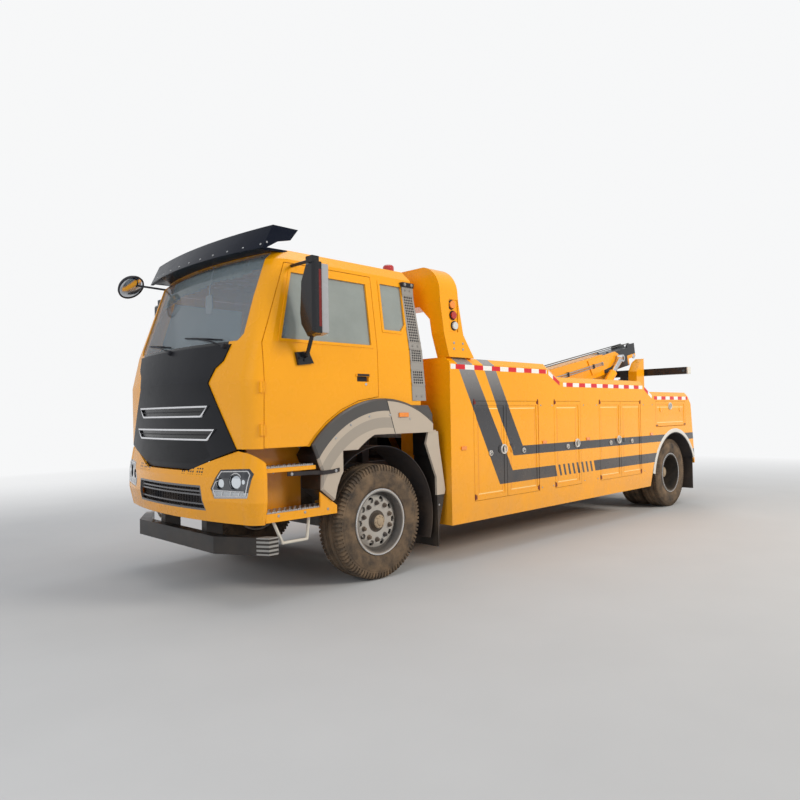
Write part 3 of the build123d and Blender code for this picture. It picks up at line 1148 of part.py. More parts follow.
def build_boom():
    half = BOOM_HALF_WIDTH
    top = BOOM_TOP_ABOVE_PIVOT
    bottom = top - BOOM_DEPTH
    pin_x = ahead(BOOM_PIVOT_AHEAD)
    base = boom_block(200, BOOM_LENGTH, -half, half, bottom, top)
    base -= boom_block(
        230, BOOM_LENGTH + 5, -half + BOOM_WALL, half - BOOM_WALL, bottom + BOOM_WALL, top - BOOM_WALL)
    for s in (1, -1):
        plate = boom_block(-110, 330, s * (half - FOOT_PLATE), s * half, bottom + 60, top)
        base += plate
    base -= disc_y(pin_x, BOOM_PIVOT_Z, PIVOT_PIN_RADIUS + RUNNING_FIT, -half - 5, half + 5)
    eye_along, eye_across = along_boom(LIFT_EYE_AHEAD, LIFT_EYE_Z)
    slide_gap = SEAT_GAP
    inner_half = half - BOOM_WALL - slide_gap
    inner_top = top - BOOM_WALL - slide_gap
    inner_bottom = bottom + BOOM_WALL + slide_gap
    nodes["boom"] = base + lift_lugs(eye_along, eye_across)
    arm = boom_block(900, BOOM_TIP - 260, -inner_half, inner_half, inner_bottom, inner_top)
    arm -= boom_block(
        890, BOOM_TIP - 300, -inner_half + 12, inner_half - 12, inner_bottom + 12, inner_top - 12)
    for s in (1, -1):
        arm += boom_block(BOOM_TIP - 280, BOOM_TIP, s * (inner_half - 16), s * inner_half, -120, inner_top + 50)
    arm += boom_disc(BOOM_TIP - 60, 0, 30, -inner_half, inner_half)
    for s in (1, -1):
        arm += boom_disc(BOOM_TIP - 60, 0, SHEAVE_RADIUS, s * (ROPE_Y - 22), s * (ROPE_Y + 22))
    nodes["boom_extension"] = arm
    ropes = []
    for s in (1, -1):
        ropes.append(boom_frame() * bar(
            (0, s * ROPE_Y, ROPE_ACROSS), (BOOM_TIP - 60, s * ROPE_Y, ROPE_ACROSS), ROPE_RADIUS))
    nodes["winch_ropes"] = group(ropes)
    sheaves = [
        disc_y(pin_x, BOOM_PIVOT_Z, ROPE_ACROSS - ROPE_RADIUS - SEAT_GAP, s * (ROPE_Y - 20), s * (ROPE_Y + 20))
        for s in (1, -1)
    ]
    nodes["boom_pedestal"] = pedestal(sheaves)
    nodes["winches"] = winches()


def lift_lugs(eye_along, eye_across):
    """Tapered plates down both sides of the boom's end, which reach back to the rod eyes."""
    half = BOOM_HALF_WIDTH
    plate = [
        (BOOM_LENGTH - 520, 60), (eye_along - 40, 80), (eye_along + 80, eye_across + 70),
        (eye_along + 95, eye_across - 60), (eye_along - 60, eye_across - 90), (BOOM_LENGTH - 300, -190),
        (BOOM_LENGTH - 420, -190),
    ]
    face = make_face(Polyline([(x, 0, z) for x, z in plate], close=True))
    thick = 16 + BOOM_WALL
    outer = extrude(face, amount=thick, dir=(0, 1, 0))
    lugs = None
    for y in (half - BOOM_WALL, -half - 16):
        lug = boom_frame() * (Pos(0, y, 0) * outer)
        lugs = lug if lugs is None else lugs + lug
    return lugs


def pedestal(sheaves):
    x = BOOM_PIVOT_AHEAD
    low = DECK_TOP_Z
    side = [
        (x + 330, low), (x + 90, BOOM_PIVOT_Z + 60), (x + 30, BOOM_PIVOT_Z + 95), (x - 30, BOOM_PIVOT_Z + 95),
        (x - 90, BOOM_PIVOT_Z + 60), (x - 260, low),
    ]
    y0 = BOOM_HALF_WIDTH + SEAT_GAP
    body = None
    for s in (1, -1):
        plate = on_side(side_prism(side, y0=y0, y1=y0 + 45), s)
        body = plate if body is None else body + plate
    body += disc_y(ahead(x), BOOM_PIVOT_Z, PIVOT_PIN_RADIUS, -y0 - 40, y0 + 40)
    return body + sheaves


WINCH_AHEAD = BOOM_PIVOT_AHEAD + 750
WINCH_Z = 1560.0
DRUM_HALF_WIDTH = 150.0
WINCH_Y = 260.0


def winches():
    x = ahead(WINCH_AHEAD)
    z = WINCH_Z
    shapes = []
    for s in (1, -1):
        y0 = s * (WINCH_Y - DRUM_HALF_WIDTH)
        y1 = s * (WINCH_Y + DRUM_HALF_WIDTH)
        drum = disc_y(x, z, 110, y0, y1)
        for y in (y0, y1):
            drum += disc_y(x, z, 175, y - 8, y + 8)
            drum += block(x - 110, x + 110, y - 22 * (1 if y == max(y0, y1) else -1) + 0, y, DECK_TOP_Z, z)
        drum += block(x - 220, x + 220, min(y0, y1) - 30, max(y0, y1) + 30, DECK_TOP_Z, DECK_TOP_Z + 30)
        shapes.append(drum)
    return group(shapes)


def build_lift_cylinders():
    foot = Vector(ahead(LIFT_FOOT_AHEAD), 0, LIFT_FOOT_Z)
    eye = Vector(ahead(LIFT_EYE_AHEAD), 0, LIFT_EYE_Z)
    length = (eye - foot).length
    along = (eye - foot).normalized()
    gland = 60.0
    barrel_end = BARREL_LENGTH

    def at(distance, y):
        point = foot + along * distance
        return (point.X, y, point.Z)

    barrels = []
    rods = []
    for s in (1, -1):
        y = s * LIFT_Y
        barrel = bar(at(50, y), at(barrel_end, y), BARREL_RADIUS)
        barrel -= bar(at(110, y), at(barrel_end - gland, y), BARREL_BORE)
        barrel -= bar(at(barrel_end - gland - 5, y), at(barrel_end + 5, y), ROD_RADIUS + RUNNING_FIT)
        barrel += disc_y(foot.X, foot.Z, BARREL_RADIUS - 2, y - 45, y + 45)
        barrel -= disc_y(foot.X, foot.Z, LIFT_PIN_RADIUS + RUNNING_FIT, y - 60, y + 60)
        barrels.append(barrel)
        rod = bar(at(150, y), at(length - 40, y), ROD_RADIUS)
        rod += bar(at(150, y), at(210, y), BARREL_BORE - RUNNING_FIT)
        rod += disc_y(eye.X, eye.Z, 62, y - 40, y + 40)
        rod -= disc_y(eye.X, eye.Z, LIFT_PIN_RADIUS, y - 60, y + 60)
        rods.append(rod)
    nodes["lift_barrels"] = group(barrels)
    nodes["lift_rods"] = group(rods)


def build_underlift():
    x = ahead(UNDERLIFT_PIVOT_AHEAD)
    z = UNDERLIFT_PIVOT_Z
    w = ARM_HALF_WIDTH
    d = ARM_HALF_DEPTH
    arm = block(x - d, x + d, -w, w, z, ARM_TOP_Z) + disc_y(x, z, d, -w, w)
    arm -= block(x - d + ARM_WALL, x + d - ARM_WALL, -w + ARM_WALL, w - ARM_WALL, z + 60, ARM_TOP_Z + 5)
    arm -= disc_y(x, z, UNDERLIFT_PIN_RADIUS + RUNNING_FIT, -w - 5, w + 5)
    nodes["underlift_arm"] = arm
    inner_d = d - ARM_WALL - SEAT_GAP
    inner_w = w - ARM_WALL - SEAT_GAP
    bar_low = CROSSBAR_Z - CROSSBAR_HEIGHT / 2
    slide = block(x - inner_d, x + inner_d, -inner_w, inner_w, STAGE_FOOT_Z, bar_low - SWIVEL_GAP)
    slide -= block(x - inner_d + 12, x + inner_d - 12, -inner_w + 12, inner_w - 12, STAGE_FOOT_Z - 5, bar_low - SWIVEL_GAP - 30)
    half_bar = CROSSBAR_DEPTH / 2
    for s in (1, -1):
        cheek_near = x + s * (half_bar + SEAT_GAP)
        cheek_far = x + s * (half_bar + 20)
        slide += block(cheek_near, cheek_far, -70, 70, bar_low - SWIVEL_GAP - 20, CROSSBAR_Z + 50)
    slide += bar((x - half_bar - 20, 0, CROSSBAR_Z), (x + half_bar + 20, 0, CROSSBAR_Z), 28)
    nodes["underlift_slide"] = slide
    cross = block(x - half_bar, x + half_bar, -CROSSBAR_HALF_LENGTH, CROSSBAR_HALF_LENGTH,
                  bar_low, bar_low + CROSSBAR_HEIGHT)
    cross -= bar((x - half_bar - 5, 0, CROSSBAR_Z), (x + half_bar + 5, 0, CROSSBAR_Z), 28 + RUNNING_FIT)
    for s in (1, -1):
        y = s * FORK_PIN_Y
        cross -= bar((x - half_bar - 5, y, CROSSBAR_Z), (x + half_bar + 5, y, CROSSBAR_Z), FORK_PIN_RADIUS)
    nodes["crossbar"] = cross
    rear = DECK_REAR_AHEAD
    mast = [
        (rear + 280, DECK_TOP_Z), (rear + 280, 2170), (rear + 150, 2330), (rear, 2400), (rear, DECK_TOP_Z),
    ]
    boxes = both(side_prism(mast, y0=MAST_INNER_Y, y1=MAST_OUTER_Y))
    start = RAIL_REAR_AHEAD - SEAT_GAP
    cheek = w + SEAT_GAP
    bracket = [
        block(ahead(rear), ahead(start), -540, 540, 560, 700), disc_y(x, z, UNDERLIFT_PIN_RADIUS, -cheek, cheek),
    ]
    for s in (1, -1):
        bracket.append(block(x - 90, ahead(rear), s * cheek, s * (cheek + 45), z - 120, 990))
        bracket.append(block(ahead(rear), ahead(start), s * 345, s * RAIL_OUTER_Y, 700, 990))
    nodes["tail_mast"] = group([boxes] + bracket)


# columns: place ahead of the front axle of the small marker lamps along each side
MARKERS_AHEAD = (BODY_FRONT_AHEAD - 195, BAY_1_END - 110, BAY_2_END - 168, 730 - WHEELBASE)
# columns: place ahead of the front axle, height of the round lamps on the gantry's sides
GANTRY_LAMPS = ((-945.0, 2605.0), (-965.0, 2500.0), (-985.0, 2395.0))
BEACON_RADIUS = 55.0


def build_lamps():
    roof = cab_form(-SEAT_GAP, CAB_BOTTOM_Z, CAB_TOP_Z)
    body = side_prism(BODY_OUTLINE, -SEAT_GAP, y0=BODY_INNER_Y, y1=BODY_HALF_WIDTH + SEAT_GAP)
    face_y = FENDER_OUTER_Y + SEAT_GAP
    side_y = BODY_HALF_WIDTH + SEAT_GAP
    rear = ahead(BODY_REAR_AHEAD)
    beacon = bar((ahead(-390), 900, 2850), (ahead(-390), 900, 2985), BEACON_RADIUS)
    beacon = fillet(beacon.edges().sort_by(Axis.Z)[-1], 28)
    lamps = [
        beacon - roof,
        block(rear - 140, rear - 40, side_y - 610, side_y - 100, 780, 900) - body,
        block(ahead(-330), ahead(-210), face_y, face_y + 14, 1480, 1520),
    ]
    for at in MARKERS_AHEAD:
        lamps.append(block(ahead(at) - 40, ahead(at) + 40, side_y, side_y + 10, 1130, 1165))
    panel_y = GANTRY_HALF_WIDTH - 9 + SEAT_GAP
    for at, z in GANTRY_LAMPS:
        lamps.append(disc_y(ahead(at), z, 38, panel_y, panel_y + 24))
    nodes["signal_lamps"] = both(group(lamps))


BUILDERS = (
    build_running_gear, build_cab, build_front, build_interior, build_mirrors, build_body, build_boom,
    build_lift_cylinders, build_underlift, build_lamps,
)
for build in BUILDERS:
    build()

for name, shape in nodes.items():
    export_step(shape, "parts/" + name + ".step")
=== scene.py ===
import json
import math

import bmesh
import bpy
from mathutils import Matrix, Vector
from mathutils.bvhtree import BVHTree


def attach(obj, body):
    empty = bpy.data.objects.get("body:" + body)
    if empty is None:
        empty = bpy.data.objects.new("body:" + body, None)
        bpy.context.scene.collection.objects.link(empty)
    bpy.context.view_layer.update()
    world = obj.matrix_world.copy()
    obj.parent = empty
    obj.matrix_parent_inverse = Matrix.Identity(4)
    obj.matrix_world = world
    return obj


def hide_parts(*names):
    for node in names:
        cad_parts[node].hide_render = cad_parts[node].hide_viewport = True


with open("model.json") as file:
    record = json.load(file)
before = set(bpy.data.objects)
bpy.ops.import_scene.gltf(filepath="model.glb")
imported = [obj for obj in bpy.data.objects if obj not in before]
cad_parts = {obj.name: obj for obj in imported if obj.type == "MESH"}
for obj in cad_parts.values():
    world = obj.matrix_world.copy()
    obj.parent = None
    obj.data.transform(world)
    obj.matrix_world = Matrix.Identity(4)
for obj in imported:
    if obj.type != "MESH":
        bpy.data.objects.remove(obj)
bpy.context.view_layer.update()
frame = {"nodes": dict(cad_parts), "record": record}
NODES = frame["nodes"]

# Places are metres ahead of the front axle, across and up. AXLE_X shifts them into the truck's frame.
AXLE_X = 2.8765
WHEELBASE = 6.13
WHEEL_Z = 0.525
BOOM_COS, BOOM_SIN = math.cos(math.radians(11.2)), math.sin(math.radians(11.2))
BOOM_FOOT_X, BOOM_FOOT_Z = -2.45, 1.533
SIDES = ((1, "left"), (-1, "right"))


# Node helpers

def operator(op, swap=False):
    def apply(field, other=0.0):
        return field.nodes.math(op, other, field) if swap else field.nodes.math(op, field, other)
    return apply


class Field:
    """A value in a node tree. Operators on it add Math nodes, and a | b is the larger of the two."""

    def __init__(self, nodes, socket):
        self.nodes, self.socket = nodes, socket

    __add__, __mul__, __pow__ = operator("ADD"), operator("MULTIPLY"), operator("POWER")
    __sub__, __rsub__ = operator("SUBTRACT"), operator("SUBTRACT", swap=True)
    __gt__, __lt__ = operator("GREATER_THAN"), operator("LESS_THAN")
    __or__, __abs__ = operator("MAXIMUM"), operator("ABSOLUTE")
    sine, root, fract = operator("SINE"), operator("SQRT"), operator("FRACT")


class Nodes:
    """Builds the node tree of one material or world."""

    def __init__(self, owner, kind="Material"):
        owner.use_nodes = True
        self.tree = owner.node_tree
        self.tree.nodes.clear()
        self.out = self.tree.nodes.new("ShaderNodeOutput" + kind)
        self.coords = self.axes = None

    def add(self, kind, output, inputs, **props):
        """Adds a node with these properties, sets or links its inputs, and gives one output."""
        node = self.tree.nodes.new("ShaderNode" + kind)
        for key, value in props.items():
            setattr(node, key, value)
        for key, value in inputs.items():
            socket = node.inputs[key]
            if isinstance(value, Field):
                self.tree.links.new(value.socket, socket)
            else:
                socket.default_value = (*value, 1.0) if socket.type == "RGBA" else value
        return Field(self, node.outputs[output])

    def show(self, shader):
        self.tree.links.new(shader.socket, self.out.inputs["Surface"])

    def math(self, op, *values):
        return self.add("Math", 0, dict(enumerate(values)), operation=op)

    def mix(self, factor, a, b):
        return self.add("Mix", 2, {0: factor, 6: a, 7: b}, data_type="RGBA")

    def over(self, base, layers):
        for mask, color in layers:
            base = self.mix(mask, base, color)
        return base

    def place(self):
        self.coords = self.coords or self.add("TexCoord", "Object", {})
        return self.coords

    def xyz(self):
        if not self.axes:
            node = self.add("SeparateXYZ", 0, {0: self.place()}).socket.node
            self.axes = [Field(self, socket) for socket in node.outputs]
        return self.axes

    def noise(self, scale, detail=3.0, rough=0.5):
        return self.add("TexNoise", "Fac",
            {"Scale": scale, "Detail": detail, "Roughness": rough, "Vector": self.place()})

    def ramp(self, value, low, high):
        return self.add("MapRange", "Result", {"Value": value, "From Min": low, "From Max": high}, clamp=True)

    def tone(self, scale, detail, low, high, rough=0.5):
        """Noise, with its values from low to high stretched over 0 to 1."""
        return self.ramp(self.noise(scale, detail, rough), low, high)

    def bump(self, height, strength, distance, edge=0.0):
        """A bump, over edges that look rounded by a radius of edge metres."""
        inputs = {"Strength": strength, "Distance": distance, "Height": height}
        if edge:
            inputs["Normal"] = self.add("Bevel", "Normal", {"Radius": edge}, samples=4)
        return self.add("Bump", "Normal", inputs)

    def finish(self, color, **sockets):
        inputs = {key.replace("_", " "): value for key, value in sockets.items()}
        self.show(self.add("BsdfPrincipled", 0, {"Base Color": color, **inputs}))


MATERIALS = {}


def material(name):
    MATERIALS[name] = bpy.data.materials.new(name)
    return Nodes(MATERIALS[name])


# Masks: 1 inside, 0 outside

def union(masks):
    first, *others = masks
    for mask in others:
        first = first | mask
    return first


def span(value, low, high):
    return (value > low) * (value < high)


def convex(across, up, polygon, shift=0.0):
    """A convex outline of (across, up) places; shift is added to the across values."""
    calc = across.nodes.math
    ca, cu = (sum(p[i] for p in polygon) / len(polygon) for i in (0, 1))
    result = None
    for (a0, u0), (a1, u1) in zip(polygon, polygon[1:] + polygon[:1]):
        a, b = u0 - u1, a1 - a0
        c = -(a * a0 + b * u0)
        if a * ca + b * cu + c < 0:
            a, b, c = -a, -b, -c
        edge = calc("MULTIPLY_ADD", across, a, calc("MULTIPLY_ADD", up, b, c - a * shift)) > 0.0
        result = edge if result is None else result * edge
    return result


def disc(n, y0, z0, r):
    """A round lamp on both sides, seen from the front."""
    _, y, z = n.xyz()
    dy, dz = abs(y) - y0, z - z0
    return dy * dy + dz * dz < r * r


def reach_from(n, x0, z0):
    """The distance in side view from a place in the truck's frame."""
    x, _, z = n.xyz()
    dx, dz = x - x0, z - z0
    return (dx * dx + dz * dz).root()


# Finishes: paint, plastic, metal, glass

DUST = (0.34, 0.232, 0.142)
YELLOW = (0.9, 0.365, 0.004)
BAND_GREY = (0.045, 0.044, 0.047)
TAPE_RED = (0.62, 0.012, 0.02)
TAPE_WHITE = (0.8, 0.78, 0.74)
CLEAR_LAMP = (0.62, 0.62, 0.6)


def dusty(n, base, low, high, amount):
    """Adds road dust that fades out from low to high and is broken up by noise."""
    fade = 1.0 - n.ramp(n.xyz()[2], low, high)
    return n.mix(fade * n.tone(3.2, 5.0, 0.3, 0.75, 0.6) * amount, base, DUST)


def paint(name, color, rough=0.22, dust=0.35, edge=0.004, layers=None):
    n = material(name)
    base = n.mix(n.tone(0.9, 2.0, 0.25, 0.75) * 0.35, color, tuple(c * 0.82 for c in color))
    if layers:
        base = n.over(base, layers(n, *n.xyz()))
    n.finish(dusty(n, base, 0.3, 1.15, dust), Roughness=n.tone(6.0, 4.0, 0.3, 0.8) * 0.12 + rough,
        Specular_IOR_Level=0.3, Coat_Weight=0.3, Coat_Roughness=0.06,
        Normal=n.bump(n.noise(260.0, 2.0), 0.04, 0.0006, edge))


def plastic(name, color, rough=0.55, grain=900.0, bump=0.12, dust=0.3, shine=0.2):
    n = material(name)
    base = n.mix(n.tone(2.4, 4.0, 0.3, 0.7), color, tuple(c * 1.25 + 0.004 for c in color))
    n.finish(dusty(n, base, 0.2, 1.6, dust), Roughness=n.noise(18.0, 4.0) * 0.2 + (rough - 0.1),
        Specular_IOR_Level=shine, Normal=n.bump(n.noise(grain, 2.0), bump, 0.0008, 0.004))


def metal(name, color, rough, dust=0.0):
    n = material(name)
    base = n.mix(n.tone(5.0, 5.0, 0.3, 0.7), color, tuple(c * 0.85 for c in color))
    if dust:
        base = dusty(n, base, 0.2, 1.6, dust)
    n.finish(base, Roughness=n.noise(40.0, 5.0) * 0.25 + max(0.02, rough - 0.1), Metallic=1.0,
        Normal=n.bump(n.noise(500.0, 2.0), 0.05, 0.0005, 0.003))


def glass(name, color, alpha, front=None):
    """front gives the windscreen a colour and alpha of its own."""
    n = material(name)
    smear = n.tone(4.0, 5.0, 0.35, 0.8, 0.65)
    shade = n.mix(smear, color, tuple(c * 1.15 + 0.01 for c in color))
    if front is not None:
        front_color, front_alpha = front
        screen = n.ramp(n.xyz()[0], AXLE_X + 0.95, AXLE_X + 1.05)
        alpha = screen * (front_alpha - alpha) + alpha
        shade = n.mix(screen, shade, front_color)
    n.finish(shade, Roughness=smear * 0.05 + 0.03, Alpha=alpha, Coat_Weight=1.0, Coat_Roughness=0.02)


def rubber(name, color, mud, muddy):
    n = material(name)
    n.finish(n.mix(n.tone(7.0, 6.0, 0.3, 0.72, 0.65) * muddy, color, mud), Roughness=0.85,
        Normal=n.bump(n.noise(160.0, 4.0), 0.25, 0.001))


def cloth_finish(name, color, dark, scale):
    """A woven face: scale sets how fine its threads are."""
    n = material(name)
    x, y, z = n.xyz()
    thread = ((y + x) * scale).sine() * (z * scale).sine()
    base = n.mix(n.tone(6.0, 5.0, 0.3, 0.75, 0.6), dark, color)
    base = n.mix(n.ramp(thread, -1.0, 1.0) * 0.35, base, tuple(c * 1.5 for c in color))
    n.finish(base, Roughness=0.95, Sheen_Weight=0.4, Sheen_Roughness=0.5,
        Normal=n.bump(thread + n.noise(120.0, 3.0), 0.3, 0.0012))


# Painted bands over body and doors alike, as convex outlines in side view (ahead, height)
BANDS = [
    [(-0.96, 2.08), (-1.2, 2.08), (-1.93, 0.862), (-1.93, 0.727), (-1.69, 0.727)],
    [(-1.38, 2.08), (-1.575, 2.08), (-2.13, 1.126), (-2.13, 1.023), (-1.95, 1.023)],
    [(-1.93, 0.727), (-1.93, 0.862), (-2.79, 0.862), (-2.83, 0.727)],
    [(-2.12, 1.023), (-2.12, 1.126), (-7.02, 1.126), (-7.02, 1.023)],
    [(-3.7, 0.862), (-3.74, 0.727), (-7.02, 0.727), (-7.02, 0.862)],
]
SLANTS = [[(x, 0.862), (x - 0.045, 0.862), (x - 0.085, 0.727), (x - 0.04, 0.727)]
    for x in (-2.86 - 0.105 * i for i in range(8))]
# Red and white tape along the fold: upper corners of each run in side view
TAPE_RUNS = [
    ((-0.9, 2.005), (-2.64, 2.005)), ((-2.68, 1.992), (-2.92, 1.868)), ((-3.0, 1.858), (-5.15, 1.858)),
    ((-5.2, 1.845), (-5.45, 1.722)), ((-5.52, 1.707), (-6.75, 1.707)),
]
TAPE_HEIGHT = 0.05
TAPE_PERIOD = 0.3
# Pressed rectangles on locker doors and tool flap, drawn only as painted lines, with a painted highlight along their
# top and bottom and painted shade along their sides: (front, rear, low, high) in side view
PRESSINGS = ((-1.325, -1.735, 0.655, 1.55), (-1.9, -2.375, 0.655, 1.55), (-2.852, -3.278, 0.655, 1.55),
    (-3.911, -4.368, 0.655, 1.55), (-4.539, -5.011, 0.655, 1.55), (-5.615, -6.557, 1.311, 1.543))


def body_layers(n, x, y, z):
    level, upright = [], []
    for front, rear, low, high in PRESSINGS:
        dx, dz = abs(x - (AXLE_X + (front + rear) / 2)), abs(z - (low + high) / 2)
        half_x, half_z = (front - rear) / 2, (high - low) / 2
        in_x, in_z = dx < half_x + 0.005, dz < half_z + 0.005
        level.append(in_x * (in_z * (dz > half_z - 0.005)))
        upright.append(in_z * (in_x * (dx > half_x - 0.006)))
    runs = [[a, b, (b[0], b[1] - TAPE_HEIGHT), (a[0], a[1] - TAPE_HEIGHT)] for a, b in TAPE_RUNS]
    red = ((x + 20.0) * (1.0 / TAPE_PERIOD)).fract() > 0.5
    # Pressings: painted shade on the upright edges, a painted highlight on the level edges
    return [
        (union(upright), (0.7, 0.235, 0.004)), (union(level), (0.95, 0.66, 0.26)),
        # The dark bands turn light grey towards the top: a painted reflection
        (union(convex(x, z, outline, AXLE_X) for outline in BANDS + SLANTS),
        n.mix(n.ramp(z, 1.55, 2.02), BAND_GREY, (0.26, 0.25, 0.245))),
        (union(convex(x, z, outline, AXLE_X) for outline in runs), n.mix(red, TAPE_WHITE, TAPE_RED)),
    ]


def bumper_layers(n, x, y, z):
    """The grey intake, and painted shade in the rows of small holes on both sides."""
    y = abs(y)
    grey = convex(y, z, [(-0.05, 0.742), (0.612, 0.742), (0.572, 0.948), (-0.05, 0.948)])
    zone = span(y, 0.3, 0.62) * span(z, 1.035, 1.09)
    dy, dz = (y * (1 / 0.03)).fract() - 0.5, (z * (1 / 0.0275)).fract() - 0.5
    gap = (y * (1 / 0.12)).fract() > 0.22
    holes = (dy * dy + dz * dz < 0.1) * zone * gap
    return [(grey, (0.12, 0.12, 0.125)), (holes, (0.012, 0.01, 0.008))]


def cab_layers(n, x, y, z):
    """Painted shade on the shell behind the front panel, where its slots show through, and a dark strip along the cowl
    under the windscreen.
    """
    behind = convex(abs(y), z, [(-0.05, 1.26), (0.8, 1.26), (0.72, 1.5), (0.6, 1.75), (-0.05, 1.75)])
    cowl = span(z, 2.09, 2.128) * span(y, -0.8, 0.8)
    return [(behind * (x > AXLE_X + 1.25), (0.006, 0.006, 0.007)),
        (cowl * (x > AXLE_X + 1.2), (0.012, 0.012, 0.013))]


def step_layers(n, x, y, z):
    # The steps' inner wall gets a darker orange: painted shade
    inner = (abs(y) < 0.892) * span(z, 0.7, 1.24)
    return [(inner, (0.62, 0.26, 0.012)), (z < 0.663, (0.62, 0.58, 0.5))]


def fender_layers(n, x, y, z):
    """Dark rim, a darker band that is painted shade, black liner and flap, and the seam between the fender's halves;
    the liner's black also covers the fender's inner edges as painted shade.
    """
    reach = reach_from(n, AXLE_X - 0.038, 0.585)
    past_seam = x - (z * 0.33 + (AXLE_X - 0.6))
    fore = past_seam > 0.0
    rim = ((reach > 1.045) * (z > 1.02)) | (fore * (reach > 0.955))
    flap = (x < AXLE_X - 0.55) * (z < 0.7)
    seam = (abs(past_seam) < 0.0045) * (z > 1.2)
    # The darker band ahead of the seam is painted shade; the liner's black is partly painted shade on the fender's
    # inner edges
    return [(fore * span(reach, 0.8, 0.895), (0.33, 0.285, 0.235)), (rim, (0.075, 0.07, 0.066)),
        ((abs(y) < 1.166) | (flap | seam), (0.012, 0.012, 0.013))]


def underrun_layers(n, x, y, z):
    return [((abs(y) > 1.03) * ((z * 190.0).sine() > 0.0), (0.3, 0.29, 0.27))]


def mirror_layers(n, x, y, z):
    housing = (x < AXLE_X + 0.864) * span(z, 2.142, 2.745)
    red = span(x, AXLE_X + 0.868, AXLE_X + 0.893) * span(z, 2.22, 2.68)
    return [(housing, (0.36, 0.36, 0.37)), (red, (0.16, 0.008, 0.006))]


def crossbar_layers(n, x, y, z):
    return [(abs(y) > 1.112, (0.66, 0.63, 0.56))]


def boom_head_layers(n, x, y, z):
    dx, dz = x - (AXLE_X + BOOM_FOOT_X), z - BOOM_FOOT_Z
    up, along = dx * BOOM_SIN + dz * BOOM_COS, dz * BOOM_SIN - dx * BOOM_COS
    return [((up < 0.045) * (along > 4.57), YELLOW)]


def rim_paint(name, middle, color, rings):
    """rings: (inner radius, outer radius, colour) round a wheel's middle."""
    paint(name, color, rough=0.38, edge=0.003, layers=lambda n, x, y, z: [
        (span(reach_from(n, middle, WHEEL_Z), low, high), tone) for low, high, tone in rings])


def front_panel_finish():
    """Near black, with two bright outlines and a woven net whose openings are darkened as painted shade."""
    n = material("front_panel_finish")
    _, y, z = n.xyz()
    y = abs(y)
    rims = []
    for middle, top, foot in ((1.555, 0.62, 0.545), (1.362, 0.7, 0.62)):
        outer, inner = (
            convex(y, z, [(-0.05, middle - h), (foot + a, middle - h), (top + b, middle + h), (-0.05, middle + h)])
            for h, a, b in ((0.048, 0.012, 0.022), (0.033, -0.004, 0.002)))
        rims.append(outer - inner)
    rims = union(rims)
    net = convex(y, z, [(-0.05, 1.12), (0.5, 1.12), (0.66, 1.19), (0.585, 1.305), (-0.05, 1.305)])
    hole = net * (((y + z) * 330.0).sine() * ((y - z) * 330.0).sine() > 0.12)
    base = n.mix(n.tone(2.0, 4.0, 0.3, 0.7), (0.014, 0.0145, 0.017), (0.022, 0.022, 0.025))
    n.finish(n.over(base, [(hole, (0.004, 0.004, 0.005)), (rims, (0.8, 0.8, 0.82))]),
        Roughness=n.noise(18.0, 4.0) * 0.14 + 0.26, Metallic=rims, Specular_IOR_Level=0.12,
        Normal=n.bump(hole * -1.0 + n.noise(700.0, 2.0) * 0.05, 0.35, 0.003, 0.004))


def headlamp_finish():
    n = material("headlamp_finish")
    _, y, z = n.xyz()
    bowls = union(disc(n, *at) for at in ((0.805, 0.975, 0.044), (0.965, 0.99, 0.06), (1.055, 0.995, 0.018)))
    low = z < 0.912
    base = n.mix(n.tone(9.0, 3.0, 0.3, 0.7), (0.035, 0.038, 0.044), (0.07, 0.075, 0.085))
    n.finish(n.over(base, [(low, (0.42, 0.44, 0.46)), (bowls, (0.62, 0.66, 0.7))]),
        Roughness=n.noise(30.0, 3.0) * 0.1 + 0.06, Metallic=0.75, Coat_Weight=1.0, Coat_Roughness=0.02,
        Normal=n.bump(low * (y * 420.0).sine(), 0.35, 0.003, 0.003))


def signal_finish():
    """Amber lenses; the beacons and the gantry's and the tail's lamps get their own colours."""
    n = material("signal_finish")
    x, y, z = n.xyz()
    gantry, tail, across = x < AXLE_X - 0.6, x < AXLE_X - 6.7, abs(y)
    base = n.mix(n.tone(12.0, 3.0, 0.3, 0.7), (0.78, 0.2, 0.008), (0.88, 0.27, 0.015))
    base = n.over(base, [
        ((z > 2.8) * span(x, AXLE_X - 0.5, AXLE_X - 0.3), (0.42, 0.012, 0.008)),
        (span(z, 2.455, 2.545) * gantry, (0.42, 0.01, 0.006)), (span(z, 2.35, 2.44) * gantry, CLEAR_LAMP),
        (tail * (across < 0.83), (0.45, 0.01, 0.008)), (tail * span(across, 0.83, 0.98), CLEAR_LAMP)])
    facets = (z * 700.0).sine() * ((x + y) * 700.0).sine()
    n.finish(base, Roughness=n.noise(20.0, 3.0) * 0.08 + 0.1, Coat_Weight=1.0, Coat_Roughness=0.03,
        Normal=n.bump(facets, 0.2, 0.002, 0.004))


def deck_finish():
    """Chequer plate."""
    n = material("deck_finish")
    x, y, _ = n.xyz()
    bars = abs(((x + y) * 150.0).sine()) ** 4.0 * abs(((x - y) * 150.0).sine()) > 0.35
    tone = n.tone(3.0, 6.0, 0.3, 0.7, 0.65)
    base = n.mix(tone, (0.34, 0.34, 0.34), (0.22, 0.205, 0.19))
    n.finish(n.mix(bars * 0.5, base, (0.62, 0.61, 0.6)), Roughness=tone * 0.2 + 0.35, Metallic=0.85,
        Normal=n.bump(bars, 0.6, 0.002, 0.003))


def rope_finish():
    n = material("rope_finish")
    x, y, _ = n.xyz()
    lay = (x * 260.0 + y * 190.0).sine()
    n.finish(n.mix(n.ramp(lay, -0.6, 0.8), (0.055, 0.05, 0.045), (0.34, 0.33, 0.31)),
        Roughness=n.noise(40.0, 3.0) * 0.2 + 0.35, Metallic=0.9, Normal=n.bump(lay, 0.8, 0.003))


